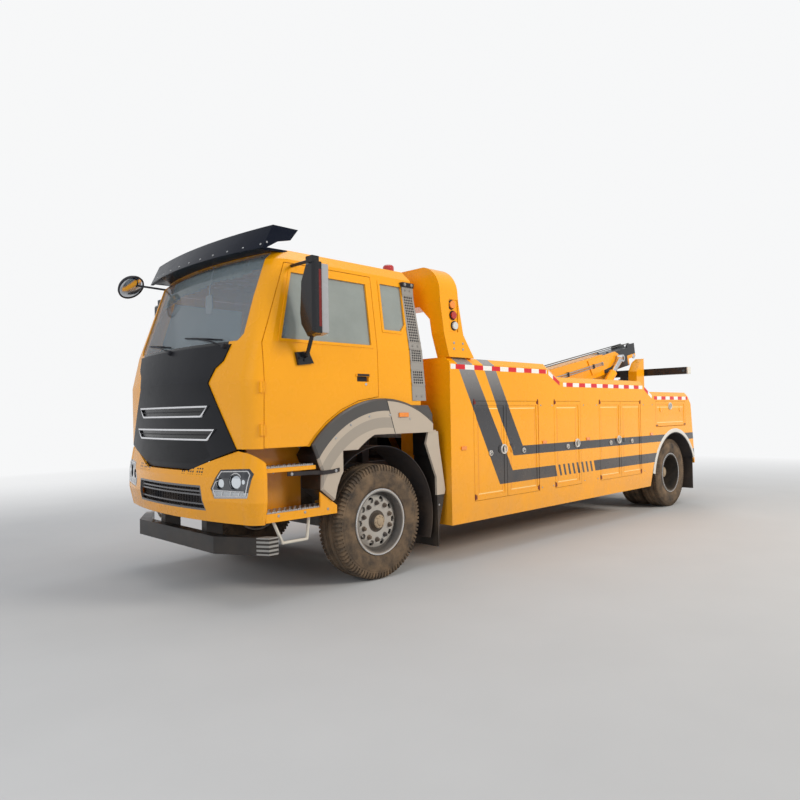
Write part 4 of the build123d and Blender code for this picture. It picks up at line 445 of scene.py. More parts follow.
paint("body_paint", YELLOW)
paint("banded_paint", YELLOW, layers=body_layers)
paint("bumper_paint", YELLOW, layers=bumper_layers)
paint("cab_paint", YELLOW, layers=cab_layers)
paint("step_paint", YELLOW, dust=0.2, layers=step_layers)
paint("black_paint", (0.014, 0.014, 0.016), rough=0.34, dust=0.2)
paint("frame_paint", (0.05, 0.05, 0.055), rough=0.5, dust=0.8)
paint("pin_red", (0.17, 0.016, 0.008), rough=0.35, dust=0.2, edge=0.001)
paint("bright_trim", (0.66, 0.63, 0.58), rough=0.24, dust=0.25, edge=0.002)
paint("guard_grey", (0.3, 0.28, 0.255), rough=0.3, dust=0.2, edge=0.001)
paint("fender_finish", (0.47, 0.395, 0.315), rough=0.35, dust=0.2, layers=fender_layers)
paint("underrun_finish", (0.014, 0.014, 0.015), rough=0.4, dust=0.12, layers=underrun_layers)
paint("mirror_finish", (0.012, 0.012, 0.014), rough=0.2, dust=0.0, layers=mirror_layers)
paint("crossbar_finish", (0.014, 0.014, 0.016), rough=0.4, dust=0.1, layers=crossbar_layers)
paint("boom_head_finish", (0.016, 0.016, 0.018), rough=0.28, dust=0.1, layers=boom_head_layers)
# Painted shade: the rear rim's dark ring fills its dish and the front rim's outer darker ring lies in its dish; the
# front rim's inner ring is a dark ring round the hub
rim_paint("rear_rim_finish", AXLE_X - WHEELBASE, (0.4, 0.39, 0.37), [(0.13, 0.2925, (0.03, 0.029, 0.028))])
rim_paint("front_rim_finish", AXLE_X, (0.42, 0.4, 0.37), [
    (0.062, 0.1, (0.022, 0.021, 0.02)), (0.238, 0.285, (0.13, 0.125, 0.12))])
plastic("black_plastic", (0.02, 0.02, 0.024), rough=0.5)
plastic("grey_plastic", (0.21, 0.195, 0.18), rough=0.42, bump=0.06)
plastic("cast_metal", (0.05, 0.047, 0.045), rough=0.7, bump=0.3, dust=0.9)
plastic("smoked", (0.004, 0.006, 0.013), rough=0.22, bump=0.02, dust=0.0, shine=0.07)
plastic("trim_fabric", (0.04, 0.042, 0.05), rough=0.95, grain=350.0, bump=0.4, dust=0.0)
plastic("hub_tan", (0.33, 0.26, 0.18), rough=0.6, bump=0.15, dust=0.5)
metal("chrome", (0.86, 0.86, 0.87), rough=0.14)
metal("steel_dull", (0.62, 0.62, 0.62), rough=0.32, dust=0.25)
metal("mirror_silver", (0.8, 0.83, 0.86), rough=0.1)
glass("glazing", (0.3, 0.33, 0.305), 0.78, front=((0.34, 0.43, 0.49), 0.24))
rubber("tyre_rubber", (0.035, 0.03, 0.026), (0.235, 0.155, 0.09), 0.85)
cloth_finish("seat_fabric", (0.1, 0.105, 0.125), (0.045, 0.047, 0.058), 1500.0)
cloth_finish("curtain_cloth", (0.16, 0.148, 0.1), (0.055, 0.05, 0.034), 1800.0)
front_panel_finish()
headlamp_finish()
signal_finish()
deck_finish()
rope_finish()

# Slots of finishes, and finishes of slots, that aren't named alike
CAD_FINISH = {"smoked_plastic": "smoked", "frame_steel": "frame_paint", "bright_steel": "chrome"}
# Finishes of single nodes, named without their side
OWN_FINISH = {
    "front_panel": "front_panel_finish", "front_bumper": "bumper_paint", "headlamps": "headlamp_finish",
    "mirror": "mirror_finish", "signal_lamps": "signal_finish", "deck": "deck_finish",
    "winch_ropes": "rope_finish", "cab_shell": "cab_paint", "crossbar": "crossbar_finish",
    "boom_extension": "boom_head_finish", "lift_barrels": "body_paint", "front_rim": "front_rim_finish",
    "rear_rims": "rear_rim_finish", "entry_steps": "step_paint", "front_fenders": "fender_finish",
    "underrun_bar": "underrun_finish",
}
for row in frame["record"]["subparts"]:
    name, slot = row["node"], row["material_slot"]
    kind = name.removesuffix("_left").removesuffix("_right")
    finish = "banded_paint" if name.startswith(("locker_", "tool_flap")) else CAD_FINISH.get(slot, slot)
    mesh = NODES[name].data
    mesh.materials.clear()
    mesh.materials.append(MATERIALS[OWN_FINISH.get(kind, finish)])


# Camera at the photograph's viewing angle

CAMERA_AT = Vector((AXLE_X + 4.17, 5.628, 1.513))
CAMERA_YAW, CAMERA_PITCH, CAMERA_ROLL = (math.radians(a) for a in (45.215, 1.158, -0.953))
FOCAL_PIXELS = 665.02
PICTURE_PIXELS = 800.0
SENSOR_MM = 36.0


def add_camera():
    level = math.cos(CAMERA_PITCH)
    forward = Vector((-math.cos(CAMERA_YAW) * level, -math.sin(CAMERA_YAW) * level, math.sin(CAMERA_PITCH)))
    right = forward.cross(Vector((0, 0, 1))).normalized()
    up = right.cross(forward)
    across = right * math.cos(CAMERA_ROLL) + up * math.sin(CAMERA_ROLL)
    high = up * math.cos(CAMERA_ROLL) - right * math.sin(CAMERA_ROLL)
    data = bpy.data.cameras.new("camera")
    data.sensor_width = SENSOR_MM
    data.lens = FOCAL_PIXELS * SENSOR_MM / PICTURE_PIXELS
    data.clip_end = 500.0
    camera = bpy.data.objects.new("camera", data)
    rows = [[across[i], high[i], -forward[i], CAMERA_AT[i]] for i in range(3)]
    camera.matrix_world = Matrix(rows + [[0, 0, 0, 1]])
    bpy.context.scene.collection.objects.link(camera)
    bpy.context.scene.camera = camera


add_camera()


# Mesh helpers

class Shape:
    """Collects closed forms. Places are ahead of the front axle, across and up, in metres."""

    def __init__(self):
        self.bm = bmesh.new()

    def vert(self, p):
        return self.bm.verts.new((AXLE_X + p[0], p[1], p[2]))

    def skin(self, rings, wrap=False):
        """Joins rings of places, where a single place is a tip; closes the ends, or with wrap joins them."""
        rows = [[self.vert(p) for p in ring] for ring in rings]
        count = max(len(row) for row in rows)
        for a, b in zip(rows, rows[1:] + rows[:1] if wrap else rows[1:]):
            for i in range(count):
                j = i + 1
                corners = (a[i % len(a)], a[j % len(a)], b[j % len(b)], b[i % len(b)])
                self.bm.faces.new(list(dict.fromkeys(corners)))
        for row in () if wrap else (rows[0], rows[-1]):
            if len(row) > 1:
                self.bm.faces.new(row)

    def arc(self, middle, profile, start, sweep, steps):
        """Sweeps (radius, across) pairs along an arc in side view, in degrees from straight ahead."""
        rings = []
        for i in range(steps + 1):
            a = math.radians(start + sweep * i / steps)
            rings.append([(middle[0] + r * math.cos(a), y, middle[1] + r * math.sin(a)) for r, y in profile])
        self.skin(rings)

    def lathe(self, profile, at, direction, segments=24, wrap=False):
        """profile: (along, radius) pairs; a radius of 0 closes an end; wrap joins last to first."""
        axis = Vector(direction).normalized()
        u = Vector((0, 0, 1)) if abs(axis.z) < 0.9 else Vector((1, 0, 0))
        u = (u - axis * u.dot(axis)).normalized()
        v = axis.cross(u)
        rings = []
        for along, r in profile:
            middle = Vector(at) + axis * along
            turns = [2 * math.pi * i / segments for i in range(segments if r > 0 else 1)]
            rings.append([middle + (u * math.cos(a) + v * math.sin(a)) * r for a in turns])
        self.skin(rings, wrap)

    def prism(self, points, along, low, high, bevel=0.0, steps=2):
        """An outline in the plane across one axis ('x', 'y' or 'z'), pushed from low to high."""
        def place(p, at):
            return {"x": (at, p[0], p[1]), "y": (p[0], at, p[1]), "z": (p[0], p[1], at)}[along]
        a = [self.vert(place(p, low)) for p in points]
        b = [self.vert(place(p, high)) for p in points]
        faces = [self.bm.faces.new(a), self.bm.faces.new(b)]
        for i in range(len(points)):
            j = (i + 1) % len(points)
            faces.append(self.bm.faces.new((a[i], a[j], b[j], b[i])))
        if bevel:
            edges = list({e for f in faces for e in f.edges})
            bmesh.ops.bevel(self.bm, geom=edges, offset=bevel, segments=steps, affect="EDGES", profile=0.5)

    def slab(self, a, b, along, reach, bevel, steps=1):
        """A rectangle between the (low, high) pairs a and b, pushed along the third axis from low to high."""
        self.prism([(a[0], b[0]), (a[1], b[0]), (a[1], b[1]), (a[0], b[1])], along, *reach, bevel, steps)

    def box(self, x, y, z, bevel, steps=2):
        self.slab(x, y, "z", z, bevel, steps)

    def tube(self, points, radius, segments=10, fine=6, squash=1.0):
        """A round bar along a smooth line through the points."""
        path = smooth_line([Vector(p) for p in points], fine)
        u = (path[1] - path[0]).normalized().orthogonal().normalized()
        rings = []
        for i, p in enumerate(path):
            t = (path[min(i + 1, len(path) - 1)] - path[max(i - 1, 0)]).normalized()
            u = (u - t * u.dot(t)).normalized()
            v = t.cross(u)
            turns = (2 * math.pi * k / segments for k in range(segments))
            rings.append([p + u * math.cos(a) * radius + v * math.sin(a) * radius * squash for a in turns])
        self.skin(rings)

    def bolt(self, at, direction, size=0.009, height=0.008):
        self.lathe([(-0.003, size * 1.5), (0.0015, size * 1.5), (0.0025, size * 1.4), (0.0025, size)],
            at, direction, 16)
        self.lathe([(0, size), (height * 0.8, size), (height, size * 0.86), (height, 0)], at, direction, 6)

    def both_sides(self):
        made = bmesh.ops.duplicate(self.bm, geom=self.bm.verts[:] + self.bm.edges[:] + self.bm.faces[:])
        for v in (g for g in made["geom"] if isinstance(g, bmesh.types.BMVert)):
            v.co.y = -v.co.y
        return self

    def flip(self, side):
        if side < 0:
            for v in self.bm.verts:
                v.co.y = -v.co.y
        return self


def smooth_line(points, fine):
    if len(points) < 3 or fine < 2:
        return points
    path = []
    ext = [points[0] * 2 - points[1]] + points + [points[-1] * 2 - points[-2]]
    for i in range(1, len(ext) - 2):
        p0, p1, p2, p3 = ext[i - 1:i + 3]
        for k in range(fine):
            t = k / fine
            path.append(0.5 * (p1 * 2 + (p2 - p0) * t + (p0 * 2 - p1 * 5 + p2 * 4 - p3) * t * t
                + (p1 * 3 - p0 - p2 * 3 + p3) * t * t * t))
    return path + [points[-1]]


def make(shape, name, finish, body="chassis", replaces=(), sharp=35.0):
    bmesh.ops.recalc_face_normals(shape.bm, faces=shape.bm.faces[:])
    mesh = bpy.data.meshes.new(name)
    shape.bm.to_mesh(mesh)
    shape.bm.free()
    mesh.shade_smooth()
    mesh.set_sharp_from_angle(angle=math.radians(sharp))
    obj = bpy.data.objects.new(name, mesh)
    bpy.context.scene.collection.objects.link(obj)
    mesh.materials.append(MATERIALS[finish])
    if replaces:
        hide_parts(*replaces)
    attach(obj, body)
    return obj


TREES = {}
REARWARD = (-1, 0, 0)
INWARD = (0, -1, 0)


def land(start, direction, *nodes):
    """Where a ray first meets these solids, and the way the face there looks; start itself if it misses."""
    best = None
    shift = Vector((AXLE_X, 0, 0))
    for node in nodes:
        if node not in TREES:
            obj = NODES[node]
            points = [obj.matrix_world @ v.co for v in obj.data.vertices]
            TREES[node] = BVHTree.FromPolygons(points, [tuple(p.vertices) for p in obj.data.polygons])
        at, normal, _, distance = TREES[node].ray_cast(Vector(start) + shift, Vector(direction).normalized())
        if at is not None and (best is None or distance < best[2]):
            best = (at - shift, normal, distance)
    if best is None:
        return Vector(start), -Vector(direction).normalized()
    return best[0], best[1] if best[1].dot(Vector(direction)) < 0 else -best[1]


# Wheels

# half width, radius, how far a shoulder lug's gap cuts in
TYRE_SIDE = (
    (0.098, 0.2885, 0), (0.113, 0.29, 0), (0.121, 0.3, 0), (0.13, 0.316, 0), (0.1335, 0.32, 0),
    (0.1385, 0.345, 0), (0.1435, 0.37, 0), (0.146, 0.398, 0), (0.1455, 0.418, 0), (0.1435, 0.423, 0),
    (0.1425, 0.444, 0), (0.1385, 0.45, 0), (0.1375, 0.466, 0.2), (0.1365, 0.48, 1), (0.134, 0.497, 1),
    (0.129, 0.511, 1), (0.121, 0.519, 1), (0.1, 0.5225, 1), (0.082, 0.5235, 0.7), (0.078, 0.5125, 0),
    (0.064, 0.5125, 0), (0.06, 0.524, 0), (0.024, 0.525, 0), (0.02, 0.513, 0), (0.006, 0.513, 0),
    (0.002, 0.525, 0),
)
LUGS = 84
LUG_STEPS = ((0.0, 1), (0.1, 0), (0.56, 0), (0.66, 1))
LUG_DEPTH, LUG_INSET = 0.012, 0.008
WHEEL_NUTS = 10
NUT_CIRCLE = 0.1675
# turned profiles of one nut (along, radius), each with its segments
NUT = (([(-0.002, 0.0235), (0.004, 0.0235), (0.006, 0.021), (0.006, 0.018)], 16),
    ([(0.004, 0.0185), (0.022, 0.0185), (0.027, 0.015), (0.027, 0.0105)], 6),
    ([(0.02, 0.01), (0.033, 0.01), (0.036, 0.0075), (0.036, 0)], 12))


def tyre(shape, x, middle_y, side):
    outline = list(TYRE_SIDE) + [(-w, r, cut) for w, r, cut in reversed(TYRE_SIDE)]
    rings = []
    for lug in range(LUGS):
        for step, low in LUG_STEPS:
            a = 2 * math.pi * (lug + step) / LUGS
            ring = []
            for w, r, cut in outline:
                r -= LUG_DEPTH * cut * low
                w -= math.copysign(LUG_INSET * cut * low, w)
                ring.append((x + r * math.sin(a), side * (middle_y + w), WHEEL_Z + r * math.cos(a)))
            rings.append(ring)
    shape.skin(rings, wrap=True)


def wheel_trim(side, x, face_y, hub_y, hub_r, rim_y, hub_bolts, body, name):
    def around(r, count, y):
        turns = (2 * math.pi * i / count for i in range(count))
        return [(x + r * math.sin(a), side * y, WHEEL_Z + r * math.cos(a)) for a in turns]

    out = (0, side, 0)
    nuts = Shape()
    for at in around(NUT_CIRCLE, WHEEL_NUTS, face_y):
        for profile, segments in NUT:
            nuts.lathe(profile, at, out, segments)
    make(nuts, name + "_nuts", "frame_paint", body)
    edge = Shape()
    edge.lathe([(-0.006, 0.2965), (0.0015, 0.2945), (0.004, 0.2985), (0.0015, 0.3025), (-0.006, 0.301)],
        (x, side * rim_y, WHEEL_Z), out, 96, wrap=True)
    make(edge, name + "_rim_edge", "chrome", body)
    cap = Shape()
    cap.lathe([(-0.004, hub_r), (0.006, hub_r), (0.01, hub_r - 0.004), (0.012, hub_r * 0.62), (0.02, hub_r * 0.55),
        (0.024, hub_r * 0.4), (0.026, 0)], (x, side * hub_y, WHEEL_Z), out, 40)
    for at in around(hub_r * 0.8, hub_bolts, hub_y + 0.0105):
        cap.bolt(at, out, 0.0052, 0.006)
    cap.tube([(x + dx, side * (face_y + dy), WHEEL_Z) for dx, dy in ((0.215, -0.01), (0.235, 0.008), (0.252, 0.03))],
        0.005, 8)
    make(cap, name + "_hub_cap", "hub_tan", body)


for side, word in SIDES:
    shape = Shape()
    tyre(shape, 0.0, 1.018, side)
    make(shape, "front_tread_" + word, "tyre_rubber", "front_wheel_" + word, ["front_tyre_" + word], sharp=28)
    shape = Shape()
    for y in (1.077, 0.739):
        tyre(shape, -WHEELBASE, y, side)
    make(shape, "rear_tread_" + word, "tyre_rubber", "rear_wheels_" + word, ["rear_tyres_" + word], sharp=28)
    wheel_trim(side, 0.0, 1.094, 1.128, 0.062, 1.152, 8, "front_wheel_" + word, "front_" + word)
    wheel_trim(side, -WHEELBASE, 0.908, 1.098, 0.076, 1.211, 12, "rear_wheels_" + word, "rear_" + word)

# Black liners in the front wheel arches
shape = Shape()
shape.arc((0.0, WHEEL_Z), ((0.69, 0.74), (0.69, 1.16), (0.696, 1.16), (0.696, 0.74)), 48, 152, 40)
make(shape.both_sides(), "arch_liner", "black_plastic")


# Front: headlamp trim, wipers, visor screws and seal

FRONT_NODES = ("front_panel", "front_bumper", "headlamps", "cab_shell", "cab_glass")
BEYOND_FRONT = 2.2
LAMP_REAR = 1.7
NO_HIT_X = 2.0
SCREW = [(-0.003, 0.0085), (0.003, 0.0085), (0.005, 0.006), (0.005, 0)]


def on_front(y, z, out=0.0):
    at, normal = land((BEYOND_FRONT, y, z), REARWARD, *FRONT_NODES)
    return at + normal * out


def first_x(y, z, node):
    at, _ = land((BEYOND_FRONT, y, z), REARWARD, node)
    return at.x if at.x < NO_HIT_X else None


def lamp_line(shape, places, radius):
    """A thin bar laid on the headlamp through (across, up) places."""
    line = [p for p in (on_front(y, z, 0.001) for y, z in places) if p.x < LAMP_REAR]
    if len(line) > 1:
        shape.tube(line, radius, 8, 1)


shape = Shape()
for y, z, r in ((0.805, 0.975, 0.046), (0.965, 0.99, 0.062)):
    shape.lathe([(-0.01, r + 0.002), (0.006, r + 0.002), (0.01, r + 0.008), (0.006, r + 0.013), (-0.01, r + 0.013)],
        on_front(y, z), (1, 0.25, 0), 40, wrap=True)
edge = [(0.725, 0.932), (0.812, 1.068), (1.09, 1.08), (1.112, 1.052), (1.08, 0.886), (0.757, 0.87)]
for (y0, z0), (y1, z1) in zip(edge, edge[1:] + edge[:1]):
    lamp_line(shape, [(y0 + (y1 - y0) * t / 8, z0 + (z1 - z0) * t / 8) for t in range(9)], 0.0055)
for y in (0.83, 0.92, 1.01):
    lamp_line(shape, [(y + 0.002 * k, 0.88 + 0.012 * k) for k in range(4)], 0.0045)
lamp_line(shape, [(0.745 + 0.036 * t, 0.918) for t in range(10)], 0.005)
make(shape.both_sides(), "headlamp_trim", "chrome")

shape = Shape()
for pivot_y, reach in ((0.78, -0.6), (-0.03, -0.62)):
    base = on_front(pivot_y, 2.085, 0.012)
    shape.lathe([(-0.02, 0.022), (0.012, 0.022), (0.02, 0.016), (0.02, 0)], base, (1, 0, 0.3), 20)
    shape.tube([base + Vector((0.012, 0, 0)), on_front(pivot_y + reach * 0.35, 2.135, 0.028),
        on_front(pivot_y + reach * 0.62, 2.165, 0.022)], 0.009, 8, 5, 0.6)
    blade = [on_front(pivot_y + reach * (0.12 + 0.95 * t / 9), 2.142 + 0.06 * t / 9, 0.01) for t in range(10)]
    shape.tube(blade, 0.0085, 6, 2, 0.7)
    shape.tube([p + Vector((0.008, 0, 0.004)) for p in blade[2:8]], 0.005, 6, 2)
make(shape, "wipers", "black_plastic")

shape = Shape()
for i in range(11):
    at, normal = land((2.4, -1.0 + 0.2 * i, 2.915), REARWARD, "sun_visor")
    if at.x < NO_HIT_X:
        shape.lathe(SCREW, at, normal, 14)
for x in (0.86, 1.0, 1.12):
    at, normal = land((x, 1.6, 2.93), INWARD, "sun_visor")
    if at.y < 1.3:
        for side, _ in SIDES:
            shape.lathe(SCREW, (at.x, side * at.y, at.z), (normal.x, side * normal.y, normal.z), 14)
make(shape, "visor_screws", "steel_dull")

SEAL_Z = 2.893
shape = Shape()
rings = []
for i in range(41):
    y = -0.985 + 1.97 * i / 40
    low = next(z for z in (2.86 + 0.004 * k for k in range(60)) if first_x(y, z, "sun_visor"))
    front, back = first_x(y, low + 0.012, "sun_visor"), first_x(y, SEAL_Z, "cab_shell")
    rings.append([(front - 0.006, y, low + 0.018), (front - 0.004, y, low + 0.002), (back + 0.012, y, SEAL_Z - 0.006),
        (back - 0.03, y, SEAL_Z + 0.004), (back - 0.02, y, SEAL_Z + 0.016), (front - 0.016, y, low + 0.024)])
shape.skin(rings)
make(shape, "visor_seal", "smoked", sharp=50)


# Cab doors: pull recess and lock

for side, word in SIDES:
    shape = Shape()
    shape.slab((0.128, 0.252), (1.806, 1.868), "y", (1.1285, 1.1325), 0.0015)
    shape.slab((0.118, 0.262), (1.8535, 1.8745), "y", (1.152, 1.1605), 0.004, 2)
    for k in range(3):
        z = 1.822 + 0.011 * k
        shape.slab((0.14, 0.24), (z, z + 0.003), "y", (1.132, 1.1345), 0.0008)
    make(shape.flip(side), "door_pull_" + word, "black_plastic", "cab_door_" + word)
    shape = Shape()
    at, _ = land((0.155, 1.5, 1.782), INWARD, "cab_door_left")
    shape.lathe([(-0.004, 0.013), (0.003, 0.013), (0.005, 0.011), (0.0055, 0.0085), (0.0035, 0.008), (0.0035, 0)],
        at, (0, 1, 0), 24)
    make(shape.flip(side), "door_lock_" + word, "chrome", "cab_door_" + word)


# Steps: treads, straps and bolts

STUD = [(0.003, 0.015), (0.009, 0.0125), (0.009, 0.007), (0.004, 0.005), (0.004, 0)]


def tread(shape, x, y, z, rows):
    shape.box(x, y, (z - 0.004, z + 0.004), 0.0015, 1)
    length = x[1] - x[0]
    across, teeth = max(2, int(length / 0.05)), int(length / 0.022)
    for i in range(across):
        for k in range(rows):
            at = (x[0] + (i + 0.5) * length / across, y[0] + (k + 0.5) * (y[1] - y[0]) / rows, z)
            shape.lathe(STUD, at, (0, 0, 1), 14)
    for i in range(teeth):
        cx = x[0] + (i + 0.5) * length / teeth
        tooth = [(cx + dx, z + dz) for dx, dz in ((-0.009, 0.003), (0.009, 0.003), (0.004, 0.014), (-0.004, 0.014))]
        shape.prism(tooth, "y", y[1] - 0.006, y[1], 0.001, 1)


shape = Shape()
tread(shape, (0.755, 1.225), (0.95, 1.143), 1.096, 3)
tread(shape, (0.545, 1.225), (0.95, 1.152), 0.737, 3)
make(shape.both_sides(), "step_treads", "steel_dull")

shape = Shape()
for x, z in ((0.79, 1.035), (0.98, 1.035), (1.17, 1.035), (0.62, 0.712), (0.86, 0.712), (1.12, 0.712)):
    at, _ = land((x, 1.5, z), INWARD, "entry_steps")
    shape.bolt(at, (0, 1, 0), 0.008, 0.007)
for x, z in ((-0.1, 1.5), (0.16, 1.49), (0.38, 1.42), (0.55, 1.31), (-0.36, 1.46), (-0.62, 1.13), (-0.7, 0.86),
        (-0.76, 0.6)):
    at, normal = land((x, 1.5, z), INWARD, "front_fenders")
    if at.y < 1.25:
        shape.bolt(at, normal, 0.007, 0.006)
make(shape.both_sides(), "side_bolts", "steel_dull")

shape = Shape()
shape.skin([[(x, y, z - 0.017), (x, y + 0.007, z - 0.016), (x, y + 0.007, z + 0.016), (x, y, z + 0.017)]
    for x, y, z in ((1.02, 1.141, 1.036), (0.98, 1.152, 1.034), (0.76, 1.156, 1.03), (0.715, 1.172, 1.028),
    (0.7, 1.196, 1.027), (0.6, 1.198, 1.03), (0.52, 1.197, 1.04))])
make(shape.both_sides(), "step_straps", "black_plastic")
shape = Shape()
for x, y in ((0.985, 1.158), (0.56, 1.204)):
    shape.bolt((x, y, 1.034), (0, 1, 0), 0.009, 0.007)
make(shape.both_sides(), "strap_bolts", "steel_dull")

shape = Shape()
shape.prism([(-0.67, 0.742), (0.67, 0.742), (0.64, 0.952), (-0.64, 0.952)], "x", 1.405, 1.413, 0.002, 1)
for k in range(5):
    z = 0.772 + 0.036 * k
    shape.slab((-0.62, 0.62), (z, z + 0.006), "x", (1.412, 1.42), 0.001)
for k in range(25):
    y = -0.6 + 0.05 * k
    shape.slab((y - 0.003, y + 0.003), (0.745, 0.95), "x", (1.412, 1.421), 0.001)
make(shape, "intake_net", "black_plastic")


# Mirrors: glass and clamps

pane = [(1.15 + o, z) for o, z in ((0.152, 2.705), (0.131, 2.59), (0.112, 2.345), (0.125, 2.265), (0.18, 2.182),
    (0.25, 2.195), (0.25, 2.705))]
for side, word in SIDES:
    shape = Shape()
    for low, high in ((2.36, 2.72), (2.17, 2.345)):
        part = [(y, min(max(z, low), high)) for y, z in pane]
        shape.prism([p for i, p in enumerate(part) if p != part[i - 1]], "x", 0.7935, 0.7985, 0.0015, 1)
    make(shape.flip(side), "mirror_glass_" + word, "mirror_silver", "cab_door_" + word)
    shape = Shape()
    for y, z in ((1.34, 2.735), (1.36, 2.17)):
        shape.box((0.845, 0.905), (y - 0.03, y + 0.03), (z - 0.015, z + 0.015), 0.006, 2)
    for x, z in ((0.855, 1.968), (0.905, 1.985)):
        shape.bolt((x, 1.176, z), (0, 1, 0), 0.008, 0.007)
    make(shape.flip(side), "mirror_clamps_" + word, "black_plastic", "cab_door_" + word)

# The round kerb mirror: shell and domed glass on its stalk
shape = Shape()
middle, axis = Vector((1.3, -1.19, 2.865)), Vector((-0.2, 0.7, -0.68)).normalized()
shape.lathe([(-0.072, 0), (-0.07, 0.045), (-0.06, 0.085), (-0.04, 0.118), (-0.012, 0.137), (0.006, 0.14),
    (0.013, 0.137), (0.012, 0.131), (0.004, 0.128)], middle, axis, 56)
shape.tube([(1.27, -1.165, 2.885), (1.14, -1.06, 2.86), (1.0, -0.96, 2.835)], 0.0105, 12, 4)
shape.lathe([(-0.012, 0.018), (0.006, 0.018), (0.012, 0.013), (0.012, 0)], (1.262, -1.158, 2.884), (0.7, -0.5, 0.1), 20)
make(shape, "kerb_mirror_shell", "black_plastic", "chassis", ["kerb_mirror"])
shape = Shape()
shape.lathe([(0.004, 0.1285), (0.01, 0.122), (0.022, 0.095), (0.03, 0.055), (0.034, 0)], middle, axis, 56)
make(shape, "kerb_mirror_glass", "mirror_silver")


# Perforated guard behind the cab

GUARD_TOP, GUARD_FOOT = 2.765, 1.634
GUARD_EDGE = 0.12
HOLE_COLUMNS = 5
HOLE_SHARE = 0.47
# low, high, rows of holes
GUARD_BANDS = ((1.634, 1.797, 0), (1.797, 1.924, 5), (1.924, 2.014, 0), (2.014, 2.131, 5), (2.131, 2.206, 0),
    (2.206, 2.658, 17), (2.658, 2.765, 0))


def guard_place(z, k, out):
    """A place on the cab's side at a height, k of the way from the guard's rear edge to its front."""
    t = (GUARD_TOP - z) / (GUARD_TOP - GUARD_FOOT)
    at, _ = land((-0.415 - 0.085 * t, 1.6, min(z, 2.64)), INWARD, "cab_shell")
    rear, front = -0.545 - 0.086 * t, -0.392 - 0.05 * t
    return (rear + (front - rear) * k, (at.y if at.y < 1.3 else 1.159) + out, z)


def guard():
    plate, back = Shape(), Shape()

    def corners(shape, places, out):
        return [shape.vert(guard_place(z, k, out)) for z, k in places]

    def panel(shape, z0, z1, k0, k1, out):
        shape.bm.faces.new(corners(shape, ((z0, k0), (z0, k1), (z1, k1), (z1, k0)), out))

    def holed_row(low, high):
        width = (1 - 2 * GUARD_EDGE) / HOLE_COLUMNS
        for c in range(HOLE_COLUMNS):
            k0, k1 = GUARD_EDGE + width * c, GUARD_EDGE + width * (c + 1)
            km, zm, kh, zh = (k0 + k1) / 2, (low + high) / 2, width * HOLE_SHARE, (high - low) * HOLE_SHARE
            rim = corners(plate, ((low, k0), (low, k1), (high, k1), (high, k0)), 0.006)
            hole = corners(plate, ((zm - zh, km), (zm, km + kh), (zm + zh, km), (zm, km - kh)), 0.006)
            for i in range(4):
                j = (i + 1) % 4
                plate.bm.faces.new((rim[i], rim[j], hole[i]))
                plate.bm.faces.new((rim[j], hole[j], hole[i]))
        for k0, k1 in ((0, GUARD_EDGE), (1 - GUARD_EDGE, 1)):
            panel(plate, low, high, k0, k1, 0.006)
        panel(back, low, high, 0.03, 0.97, 0.002)

    for z0, z1, rows in GUARD_BANDS:
        steps = rows or 4
        levels = [z0 + (z1 - z0) * i / steps for i in range(steps + 1)]
        for low, high in zip(levels, levels[1:]):
            if rows:
                holed_row(low, high)
            else:
                panel(plate, low, high, 0, 1, 0.006)
        if not rows:
            panel(back, z0, z1, 0.03, 0.97, 0.002)
    for shape, thick in ((plate, 0.003), (back, 0.002)):
        bmesh.ops.remove_doubles(shape.bm, verts=shape.bm.verts[:], dist=0.0005)
        bmesh.ops.recalc_face_normals(shape.bm, faces=shape.bm.faces[:])
        bmesh.ops.solidify(shape.bm, geom=shape.bm.faces[:], thickness=thick)
    for z in (1.68, 2.168, 2.715):
        for k in (0.3, 0.7):
            plate.bolt(guard_place(z, k, 0.007), (0, 1, 0), 0.009, 0.007)
    x, y, _ = guard_place(2.76, 0.5, 0.0)
    back.box((x - 0.08, x + 0.08), (y - 0.03, y + 0.016), (2.745, 2.79), 0.004, 2)
    for dx in (-0.045, 0.045):
        plate.bolt((x + dx, y + 0.015, 2.768), (0, 1, 0), 0.011, 0.008)
    make(plate.both_sides(), "rear_guard", "guard_grey", sharp=25)
    make(back.both_sides(), "rear_guard_back", "black_plastic")


guard()


# Locker doors and tool flaps: latches, locks, hinge pins

# hinge edge, free edge, latch, lock, CAD recess that a plug fills
LEAVES = {
    1: (-1.25, -1.818, -1.762, -1.535, -1.713), 2: (-2.446, -1.824, None, -2.144, -1.929),
    3: (-2.782, -3.388, -3.3, -3.083, -3.283), 4: (-3.87, -4.452, -4.394, -4.17, -4.347),
    5: (-5.068, -4.46, None, -4.784, -4.565),
}
DOOR_FACE_Y = 1.25
PLUG = [(-0.004, 0.04), (0.001, 0.04), (0.002, 0.038), (0.002, 0)]


def latch(ring, dish, x, z, side):
    at = (x, side * DOOR_FACE_Y, z)
    ring.lathe([(-0.01, 0.055), (0.01, 0.055), (0.016, 0.05), (0.014, 0.042), (0.002, 0.039), (-0.01, 0.039)],
        at, (0, side, 0), 40, wrap=True)
    low, high = sorted((side * (DOOR_FACE_Y - 0.004), side * (DOOR_FACE_Y + 0.008)))
    ring.prism([(x - 0.026, z - 0.034), (x - 0.008, z - 0.04), (x - 0.002, z + 0.006), (x - 0.008, z + 0.04),
        (x - 0.02, z + 0.034)], "y", low, high, 0.002, 2)
    dish.lathe([(-0.01, 0.0395), (-0.002, 0.0395), (-0.003, 0.012), (0.003, 0.01), (0.003, 0)], at, (0, side, 0), 28)


